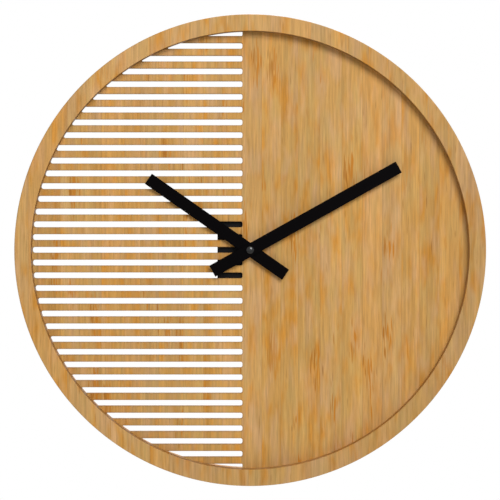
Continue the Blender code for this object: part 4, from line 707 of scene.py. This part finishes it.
def near_slots(b, x, z):
    """Most at a slot's edge, and none a little away from it. The nearest slot follows from the pitch."""
    up = b.sum("PINGPONG", b.sum("MULTIPLY_ADD", z, 1 / MM, NAIL), SLOT_PITCH / 2)
    up = b.sum("MAXIMUM", b.sum("SUBTRACT", up, SLOT_HEIGHT / 2 - SLOT_CORNER), 0)
    along = b.sum("MAXIMUM", b.sum("MULTIPLY_ADD", x, 1 / MM, SLOT_CORNER - SLOT_STOP), 0)
    away = b.sum("SQRT", b.sum("MULTIPLY_ADD", up, up, b.sum("MULTIPLY", along, along)))
    return b.span(away, SLOT_CORNER, SLOT_CORNER + SCORCH_AND_SHADE_REACH, SCORCH_AND_SHADE_MOST, 0.0)


# The browning near the slots is partly a scorch mark and partly painted shade of the slot walls.
dial_bamboo = bamboo("bamboo_dial", **dial_board, scorch_and_shade=near_slots)
print("the dial's bamboo is browned up to", SCORCH_AND_SHADE_REACH, "mm from a slot")

# %% Cut the dial
PANEL_FRONT = 25.7
PANEL_BACK = 21.7
CUT_WALLS = 188.0

panel = piece("slotted_dial", sheet_piece(panel_outlines, PANEL_BACK, PANEL_FRONT, edge=0.12, steps=2),
              dial_bamboo, "clock", ["dial_panel"])
# The cut walls get the browner bamboo, darkened further with painted shade.
paint(panel, cut_and_shaded_bamboo, lambda x, y, h, n: (np.abs(n[:, 1]) < 0.8) & (np.hypot(x, y) < CUT_WALLS))

# %% [markdown]
# ## The hands
# Each hand is a straight flat bar of aluminium with square ends, coated satin black. They are
# made as sheet pieces along x and then turned to their places: the minute hand stands at about
# ten past and the hour hand a little after ten. The coating takes the sharpness off the edges,
# and leaves the surface very slightly uneven.

# %% Coat and cut the hands
black = Recipe("black_coating", light_value(4, 3, 4), 0.42, specular=0.02)
orange_peel = black.cloud(1.6, 1.6, 1.6)
black.roughness(orange_peel, 0.38, 0.48)
black.colour(black.tones(orange_peel, (3, 2, 3), (6, 4, 5)))
black.bump(orange_peel, 0.01, 0.3)


def hand_shape(width, reach, tail, bore, back, front, angle):
    """A bar from -tail to reach with a round hole at the arbor, turned to its angle."""
    half = width / 2
    corners = [(-tail, -half), (reach, -half), (reach, half), (-tail, half)]
    bar = sheet_piece([softened(corners, 0.15, steps=3), circle(bore, 40)], back, front, edge=0.14)
    return turned_in_plane(bar, math.radians(angle))


hour_bar = hand_shape(width=10.5, reach=105.7, tail=36.7, bore=3.03, back=30.3, front=31.0, angle=145.0)
hour_collar = turned([(2.58, 31.05), (3.4, 31.05), (3.48, 30.97), (3.48, 29.55), (3.43, 29.5),
                      (2.58, 29.5)], 40, closed=True)
minute_bar = hand_shape(width=10.7, reach=144.6, tail=36.9, bore=1.58, back=31.9, front=32.6, angle=29.2)
piece("hour_hand_bar", together(hour_bar, hour_collar), black.material, "hour_work",
      ["hour_hand"])
piece("minute_hand_bar", minute_bar, black.material, "minute_work", ["minute_hand"])

# %% [markdown]
# ## Plain finishes with life in them
# Metal, plastic and rubber look dead in one flat colour. A moulded case has the fine sparkle of
# its mould, a plated strip the grain of its rolling, brass a little tarnish. One function is
# enough for most of them: noise of a given grain size moves the colour between two tones and
# the roughness between two values, and raises the surface a hair. What is turned on a lathe
# gets fine rings as well, which follow the distance from the axis.

# %% A mottled finish
RING_PITCH = 0.3


def mottled(name, dark, bright, grain, roughness, metallic=0.0, specular=0.5, depth=0.01, rings=0.0):
    """Noise of one grain size, or one each along x, y and z, plus sin(2 pi r / pitch) for lathe work."""
    f = Recipe(name, light_value(*bright), sum(roughness) / 2, metallic, specular)
    pattern = f.cloud(*(1 / np.broadcast_to(grain, 3)).tolist(), detail=3.0)
    f.colour(f.tones(pattern, dark, bright))
    f.roughness(pattern, *roughness)
    height = pattern
    if rings:
        x, _, z = f.xyz()
        flat = f.add("CombineXYZ", {0: x, 1: 0.0, 2: f.sum("ADD", z, NAIL * MM)}).outputs[0]
        radius = f.add("VectorMath", {0: flat}, operation="LENGTH").outputs["Value"]
        height = f.sum("MULTIPLY_ADD", f.wave(radius, RING_PITCH), rings, pattern)
    f.bump(height, depth)
    return f.material


case_plastic = mottled("case_plastic", (8, 7, 9), (15, 14, 16), 0.5, (0.42, 0.58),
                       specular=0.1, depth=0.03)
knob_plastic = mottled("knob_plastic", (20, 20, 22), (30, 30, 32), 0.6, (0.38, 0.5),
                       specular=0.25, depth=0.015)
turned_brass = mottled("turned_brass", (178, 140, 72), (212, 176, 104), 2.5, (0.24, 0.4),
                       metallic=1.0, depth=0.004, rings=0.25)
plated_strip = mottled("plated_strip", (176, 178, 181), (204, 206, 208), (7.0, 0.7, 0.7), (0.26, 0.4),
                       metallic=1.0, depth=0.004)
spring_steel = mottled("spring_steel", (150, 152, 155), (190, 192, 195), 1.2, (0.22, 0.36),
                       metallic=1.0, depth=0.003)
washer_rubber = mottled("washer_rubber", (24, 23, 23), (37, 36, 35), 0.6, (0.74, 0.9),
                        specular=0.3, depth=0.03)
white_nylon = mottled("moulded_nylon", (219, 217, 208), (229, 227, 219), 5.0, (0.36, 0.48), depth=0.004)
punched_iron = mottled("punched_iron", (122, 122, 125), (156, 156, 158), (4.0, 0.5, 0.5), (0.34, 0.52),
                       metallic=1.0, depth=0.008)
sintered_magnet = mottled("sintered_magnet", (36, 36, 39), (58, 58, 61), 0.3, (0.46, 0.66),
                          specular=0.4, depth=0.015)
epoxy_drop = mottled("epoxy_drop", (10, 10, 11), (21, 21, 22), 1.6, (0.12, 0.24), depth=0.03)
satin_arbor = mottled("steel_arbor", (158, 160, 164), (198, 200, 203), 0.5, (0.2, 0.34),
                      metallic=1.0, depth=0.003)
print("eleven plain finishes mixed")

# %% Copper wire and woven board
WIRE_PITCH = 0.12
WEAVE_PITCH = 0.7


def copper_finish():
    """Enamelled copper: bands along x are the single wires, with painted shade in the grooves; noise
    tints them.
    """
    f = Recipe("enamelled_copper", light_value(184, 98, 52), 0.3, 1.0)
    wire = f.span(f.wave(f.xyz()[0], WIRE_PITCH), -1, 1)
    cloud = f.cloud(0.5, 0.5, 0.5)
    warm = f.tones(cloud, (168, 82, 42), (202, 116, 64))
    f.colour(f.blend(f.span(wire, 0.0, 0.5, 0.6, 0.0), warm, light_value(96, 40, 20)))
    f.roughness(cloud, 0.24, 0.36)
    f.bump(wire, 0.02)
    return f.material


def board_finish():
    """Glass cloth in resin: sin(x) sin(z) is the weave under the green lacquer."""
    f = Recipe("board_laminate", light_value(38, 84, 46), 0.34)
    x, _, z = f.xyz()
    weave = f.sum("MULTIPLY", f.wave(x, WEAVE_PITCH), f.wave(z, WEAVE_PITCH))
    cloud = f.cloud(0.3, 0.3, 0.3)
    green = f.tones(cloud, (30, 72, 38), (44, 94, 54))
    f.colour(f.blend(f.span(weave, -1, 1, 0.0, 0.3), green, light_value(74, 122, 74)))
    f.roughness(cloud, 0.28, 0.42)
    f.bump(weave, 0.01)
    return f.material


copper_wire = copper_finish()
board_laminate = board_finish()
print("mixed", copper_wire.name, "and", board_laminate.name)

# %% [markdown]
# ## The cap and the dial fixing
# A small domed cap nut holds the minute hand. Below it, a brass bush comes through the dial,
# and a washer and a hexagonal nut clamp the dial against the movement. They are lathe work, so
# they are turned here too. A thread is a turned surface whose radius also depends on the
# angle: it falls behind by one pitch in each turn, so the seam closes by itself. A nut is a
# cone and a hexagon, and at every angle the smaller of the two is the metal.

# %% Turn the cap
dome = np.linspace(0, np.pi / 2, 13)
cap_profile = np.concatenate([
    np.column_stack([3.3 * np.sin(dome), 33.6 + 1.3 * np.cos(dome)]),
    [(3.3, 32.75), (3.25, 32.7), (1.33, 32.7), (1.33, 34.2), (0, 34.2)]])
gloss = Recipe("black_cap", light_value(13, 12, 14), 0.12, specular=0.42)
haze = gloss.cloud(0.8, 0.8, 0.8)
gloss.colour(gloss.tones(haze, (8, 7, 9), (13, 12, 14)))
gloss.roughness(haze, 0.09, 0.15)
gloss.bump(haze, 0.004)
piece("cap_dome", turned(cap_profile, 64), gloss.material, "minute_work", ["cap_nut"])

# %% A surface whose radius knows its angle
STEPS_PER_PITCH = 8


def threaded(before, after, radius, cut, pitch, low, high, at=(0, 0), closed=False, columns=72):
    """Between plain profiles, r = R - cut * |2 frac(h / pitch - a / 2 pi) - 1|, faded at the ends."""
    a = angles(columns)
    h = np.linspace(low, high, int((high - low) / pitch * STEPS_PER_PITCH) + 1)[None, :]
    wave = np.abs(2 * ((h / pitch - a / (2 * np.pi)) % 1) - 1)
    fade = np.clip(np.minimum(abs(h - low), abs(high - h)) / pitch, 0, 1)
    first, last = (np.tile(np.array(profile, float), (columns, 1, 1)) for profile in (before, after))
    r = np.concatenate([first[..., 0], radius - cut * fade * wave, last[..., 0]], axis=1)
    height = np.concatenate([first[..., 1], np.broadcast_to(h, wave.shape), last[..., 1]], axis=1)
    return grid_round(r, height, at, closed)


# %% Turn the bush and its washers
flange = [(2.58, 19.5), (2.68, 19.4), (5.5, 19.4), (5.6, 19.5), (5.6, 19.9), (5.5, 20.0), (4.0, 20.0)]
mouth = [(3.72, 29.1), (3.6, 29.2), (2.7, 29.2), (2.58, 29.08)]
bush = threaded(flange, mouth, radius=4.0, cut=0.36, pitch=0.75, low=20.1, high=28.9, closed=True,
                columns=96)
piece("bush_threaded", bush, turned_brass, "clock", ["threaded_bush"])
washer_profile = softened([(4.1, 25.8), (6.0, 25.8), (6.0, 26.3), (4.1, 26.3)], 0.12)
piece("dial_washer", turned(washer_profile, 96, closed=True), turned_brass, "clock",
      ["fixing_washer"])
seal_profile = softened([(4.1, 20.8), (6.3, 20.8), (6.3, 21.6), (4.1, 21.6)], 0.2)
piece("dial_cushion", turned(seal_profile, 96, closed=True), washer_rubber, "clock",
      ["rubber_washer"])

# %% Mill the nut
NUT_FLAT = 5.5
NUT_BORE = 4.1
NUT_BACK = 26.4
NUT_FRONT = 28.6
NUT_CONE = math.radians(25)


def nut_shape(columns=144):
    """r = min(flat / cos(angle from the flat's middle), 0.15 mm less than flat + drop / tan cone)."""
    a = angles(columns)
    hexagon = NUT_FLAT / np.cos(a % (np.pi / 3) - np.pi / 6)
    h = np.concatenate([[NUT_BACK, NUT_BACK + 0.05], np.linspace(27.8, NUT_FRONT, 9)])
    side = np.minimum(hexagon, NUT_FLAT - 0.15 + (NUT_FRONT - h) / math.tan(NUT_CONE))
    back = np.tile([NUT_BORE, NUT_BORE + 0.15], (columns, 1))
    front = np.tile([NUT_BORE + 0.25, NUT_BORE], (columns, 1))
    r = np.concatenate([back, side[:, :1] - 0.05, side[:, 1:], front], axis=1)
    return grid_round(r, np.concatenate([[NUT_BACK + 0.1, NUT_BACK, NUT_BACK], h[1:],
                                         [NUT_FRONT, NUT_FRONT - 0.25]]), closed=True)


piece("dial_nut", nut_shape(), turned_brass, "clock", ["hex_nut"], crease=math.radians(22))

# %% [markdown]
# ## The movement's case
# Behind the dial sits a quartz movement in a black moulded case: a box with a battery bay, a
# cover that four snap hooks hold, and a knob that sets the hands. The measured pieces already
# have the right form, so the case and its cover are copies of them with two changes that a
# mould makes: the sharp edges are rounded by a Bevel, and the surface is finely spark-eroded.
# The hanger, the contacts and the lead are bent strip, and their copies are rounded the same way.

# %% Round the edges of a measured piece
FLAT_WITHIN = math.radians(1)
SHARP_FROM = math.radians(40)


def moulded_copy(name, node, finish, width):
    """Welds a copy of a measured piece, joins its flat triangles and rounds its sharp edges."""
    source = frame["nodes"][node]
    mesh = source.data.copy()
    mesh.name = name
    weld = welded(mesh)
    bmesh.ops.dissolve_limit(weld, angle_limit=FLAT_WITHIN, verts=weld.verts, edges=weld.edges)
    weld.to_mesh(mesh)
    weld.free()
    made = hung(name, mesh, finish, source["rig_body"], [node])
    edge = made.modifiers.new("edges", "BEVEL")
    edge.width = width * MM
    edge.segments = 2
    edge.limit_method = "ANGLE"
    edge.angle_limit = SHARP_FROM
    settle(made)


moulded_copy("case_moulding", "movement_case", case_plastic, width=0.2)
moulded_copy("cover_moulding", "case_back", case_plastic, width=0.15)
moulded_copy("hanger_strip", "hanger_plate", plated_strip, width=0.08)
for name, node in (("contact_plus", "positive_contact"), ("contact_minus", "negative_contact"),
                   ("lead_strip", "negative_lead")):
    moulded_copy(name, node, plated_strip, width=0.05)

# %% Mould the setting knob
KNOB_AT = (10.6, 0.0)
KNOB_FLUTES = 18
FLUTE_DEPTH = 0.3


def knob_shape(columns=216):
    """The rim's radius is 6.0 mm, less a flute's depth where cos(18 a) is high."""
    a = angles(columns)
    flute = np.clip(0.5 + 0.9 * np.cos(KNOB_FLUTES * a), 0, 1) * FLUTE_DEPTH
    profile = np.array([(0, 2.8), (3.95, 2.8), (4.2, 2.6), (4.2, 2.25), (4.35, 2.1), (5.55, 2.1),
                        (5.85, 2.2), (6.0, 2.45), (6.0, 4.2), (5.9, 4.4), (5.6, 4.5), (0.76, 4.5),
                        (0.76, 2.9), (0, 2.9)])
    share = np.interp(profile[:, 0], [5.5, 5.9], [0, 1])
    return grid_round(profile[:, 0] - share * flute, profile[None, :, 1], KNOB_AT)


piece("knob_fluted", knob_shape(), knob_plastic, "setting_work", ["setting_knob"])

# %% [markdown]
# ## The battery and its spring
# One round cell drives the clock. Its steel can is covered by a plain coloured sleeve that is
# shrunk over both ends, and the spring at its flat end is one wire wound to a cone. The cell is
# a turned piece laid on its side. The spring is a circle carried along a path: at each point
# the circle stands square to the wire, between the direction away from the axis and a third
# direction at right angles to both.

# %% Lay a turned piece on its side


def laid_along_x(shape, y, height):
    """A turned piece's axis goes from the height to x: (p, q, h) becomes (h, y + p, height + q)."""
    points, faces = shape
    p, q, h = points.T
    return np.column_stack([h, y + p, height + q]), faces


CELL_Y = -19.5
CELL_HEIGHT = 12.1
CELL_START = -23.7
BARE_RADIUS = 5.9
RINGS_AT = 17.0

# Radius and distance from the flat end: first that end, then the sleeve, then the shoulder and knob.
cell_profile = np.concatenate([
    [(0, 0), (4.4, 0), (4.5, 0.08), (4.5, 0.3), (6.0, 0.3), (6.1, 0.22)],
    softened([(6.1, 0.2), (7.1, 0.2), (7.1, 48.9), (5.9, 48.9)], [0.05, 0.6, 0.6, 0.05], steps=6),
    [(5.8, 48.8), (3.2, 48.8), (2.75, 48.92), (2.6, 49.2), (2.6, 49.75), (2.4, 49.95), (2.1, 50),
     (0, 50)]])
cell_profile[:, 1] += CELL_START


def sleeve_finish():
    """A plain dark sleeve with two pale rings near the plus end, a little scuffed."""
    f = Recipe("cell_sleeve", light_value(34, 44, 60), 0.3)
    scuff = f.cloud(0.5, 2.0, 2.0, detail=4.0)
    plain = f.tones(scuff, (30, 40, 56), (42, 54, 72), low=0.35)
    away = f.sum("ABSOLUTE", f.sum("SUBTRACT", f.xyz()[0], RINGS_AT * MM))
    band = f.span(away, 2.3 * MM, 2.4 * MM, 1.0, 0.0)
    gap = f.span(away, 1.1 * MM, 1.2 * MM, 0.0, 1.0)
    f.colour(f.blend(f.sum("MULTIPLY", band, gap), plain, light_value(176, 180, 186)))
    f.roughness(scuff, 0.24, 0.4, low=0.35)
    f.bump(scuff, 0.01)
    return f.material


cell_shape = laid_along_x(turned(cell_profile, 96), CELL_Y, CELL_HEIGHT)
cell = piece("cell_sleeved", cell_shape, sleeve_finish(), "battery", ["battery_cell"])
paint(cell, plated_strip, lambda x, y, h, n: np.hypot(y - CELL_Y, h - CELL_HEIGHT) < BARE_RADIUS)

# %% Wind the spring
SPRING_FOOT = -26.25
SPRING_LENGTH = 2.2
SPRING_TURNS = 3
WIDE_END = 4.8
TAPER = 2.4


def wire(path, radius, sides=12):
    """Circles of the wire's radius square to the path, closed by a point at each end."""
    along = np.gradient(path, axis=0)
    along /= np.linalg.norm(along, axis=1, keepdims=True)
    out = path - np.array([0, CELL_Y, CELL_HEIGHT])
    out[:, 0] = 0
    out -= (out * along).sum(axis=1, keepdims=True) * along
    out /= np.linalg.norm(out, axis=1, keepdims=True)
    third = np.cross(along, out)
    a = angles(sides)[None]
    rings = path[:, None] + radius * (np.cos(a) * out[:, None] + np.sin(a) * third[:, None])
    ends = [np.broadcast_to(p, (1, sides, 3)) for p in (path[0], path[-1])]
    return net(np.concatenate([ends[0], rings, ends[1]]), across=True)


turn = np.linspace(0, SPRING_TURNS * 2 * np.pi, 145)
share = turn / turn[-1]
winding_radius = WIDE_END - TAPER * share
spring = np.column_stack([SPRING_FOOT + SPRING_LENGTH * share, CELL_Y + winding_radius * np.cos(turn),
                          CELL_HEIGHT + winding_radius * np.sin(turn)])
piece("spring_cone", wire(spring, radius=0.25), spring_steel, "clock",
      ["negative_spring"], crease=math.radians(60))

# %% [markdown]
# ## The hanger's screws
# The toothed hanger is held by two small pan-head screws with a cross recess. The shank is the
# thread function again, and the cross is two thin blocks subtracted from the head.

# %% Thread the screws and cut their crosses
HANGER_MIDDLE = 192.8
SCREW_X = 18.3
CROSS_REACH = 1.25
CROSS_HALF = 0.24
CROSS_DEPTH = 1.75

head = [(0, 1.0), (1.3, 1.03), (1.9, 1.14), (2.2, 1.34), (2.3, 1.6), (2.3, 2.0), (2.2, 2.1), (1.1, 2.1)]
tip = [(0.5, 11.6), (0, 12.1)]
for side, x in (("left", -SCREW_X), ("right", SCREW_X)):
    at = (x, HANGER_MIDDLE)
    thread = threaded(head, tip, radius=1.1, cut=0.3, pitch=0.9, low=2.3, high=10.9, at=at)
    screw = piece("screw_" + side, thread, plated_strip, "clock",
                  ["hanger_screw_" + side])
    for out, up in ((CROSS_REACH, CROSS_HALF), (CROSS_HALF, CROSS_REACH)):
        low, high = (x - out, HANGER_MIDDLE - up), (x + out, HANGER_MIDDLE + up)
        carve(screw, block(low, high, 0.5, CROSS_DEPTH, edge=0.02))

# %% [markdown]
# ## Inside the movement
# The wheels, plates and the stepping motor are closed in by the case. Their measured forms have
# every tooth already, so the gears and plates keep them and only get their finishes: white
# nylon, punched iron, green board. The round parts of the motor and the board are turned anew.

# %% Dress the wheels and plates
INNER_FINISHES = {
    white_nylon: ["middle_plate", "train_bridge", "hour_wheel", "centre_wheel", "setting_wheel",
                  "third_wheel", "seconds_wheel", "intermediate_wheel", "rotor_pinion"],
    satin_arbor: ["minute_arbor"],
    punched_iron: ["stator", "coil_core"],
    sintered_magnet: ["rotor_magnet"],
    board_laminate: ["circuit_board"]}
for inner_finish, nodes in INNER_FINISHES.items():
    for node in nodes:
        for holder in frame["nodes"][node].material_slots:
            holder.material = inner_finish
print("dressed", sum(map(len, INNER_FINISHES.values())), "measured pieces")

# %% Wind the motor's coil
COIL_X, COIL_Y, COIL_HEIGHT = -7.0, 21.5, 8.9
COIL_HALF = 10.3
COIL_STEPS = 161
COIL_BORE = 1.9
COIL_RADIUS = 2.28

step = np.linspace(-COIL_HALF, COIL_HALF, COIL_STEPS)
ridges = COIL_RADIUS + 0.02 * np.cos(np.arange(COIL_STEPS) * np.pi)
winding = np.column_stack([[COIL_BORE, *ridges, COIL_BORE], [-COIL_HALF, *step, COIL_HALF]])
bobbin = softened([(1.6, -11), (2.5, -11), (2.5, -10.4), (1.8, -10.4), (1.8, 10.4), (2.5, 10.4),
                   (2.5, 11), (1.6, 11)], [0.05, 0.15, 0.1, 0.05, 0.05, 0.1, 0.15, 0.05])


def on_coil_axis(profile):
    """A ring turned about the coil's axis, from a profile that is measured from the coil's middle."""
    moved = np.array(profile, float) + [0, COIL_X]
    return laid_along_x(turned(moved, 48, closed=True), COIL_Y, COIL_HEIGHT)


piece("coil_wound", on_coil_axis(winding), copper_wire, "clock", ["coil_winding"])
piece("coil_former", on_coil_axis(bobbin), white_nylon, "clock", ["coil_bobbin"])

# %% Set the chip's drop and the crystal
CHIP_AT = (19.0, 8.5)
BOARD_BACK = 9.3
DROP_RADIUS = 2.8
DROP_HEIGHT = 1.1
CRYSTAL_X, CRYSTAL_HEIGHT = 18.0, 8.4

drop = np.linspace(0, np.pi / 2, 12)
bulge = np.column_stack([DROP_RADIUS * np.cos(drop) ** 0.8, BOARD_BACK - DROP_HEIGHT * np.sin(drop)])
piece("chip_drop", turned(np.concatenate([[(0, BOARD_BACK)], bulge]), 48, CHIP_AT), epoxy_drop,
      "clock", ["control_chip"])
can = softened([(0, 21.0), (0.9, 21.0), (0.9, 15.0), (0, 15.0)], [0, 0.3, 0.1, 0], steps=5)
points, faces = turned(can, 32)
along_y = np.column_stack([CRYSTAL_X + points[:, 0], points[:, 2], CRYSTAL_HEIGHT + points[:, 1]])
piece("crystal_can", (along_y, faces), spring_steel, "clock", ["quartz_crystal"])

# %% List the measured pieces that are still shown
print("measured pieces still shown:", sorted(n for n, o in frame["nodes"].items() if not o.hide_render))

# %% [markdown]
# ## The floor
# The clock hangs on a wall, so the floor lies about a metre below, and only other views show it.
# It is pale and matt. The lamps are meant for the clock and reach little of the floor, so what is
# seen of it is partly its own plain colour. The rest still shows light and shadow.

# %% Lay the floor
FLOOR_RADIUS = 4.0
FLOOR_Z = -1.1
PALE = light_value(236, 234, 230)
OWN_SHARE = 0.6

floor_mesh = bpy.data.meshes.new("floor")
floor_edge = circle(FLOOR_RADIUS, 128)
floor_points = np.column_stack([floor_edge, np.full(len(floor_edge), FLOOR_Z)])
floor_mesh.from_pydata(floor_points.tolist(), [], [range(len(floor_points))])
floor = placed("floor", floor_mesh)
pale = Recipe("pale_floor", PALE, 0.8)
share = pale.sum("MULTIPLY", seen_directly(pale.material.node_tree), OWN_SHARE)
plain_pale = pale.add("Emission", {"Color": PALE}).outputs[0]
mixed = pale.add("MixShader", {0: share, 1: pale.shader.outputs[0], 2: plain_pale})
pale.feed(pale.nodes["Material Output"].inputs["Surface"], mixed.outputs[0])
floor_mesh.materials.append(pale.material)
print("floor", 2 * FLOOR_RADIUS, "m across, at", FLOOR_Z, "m")
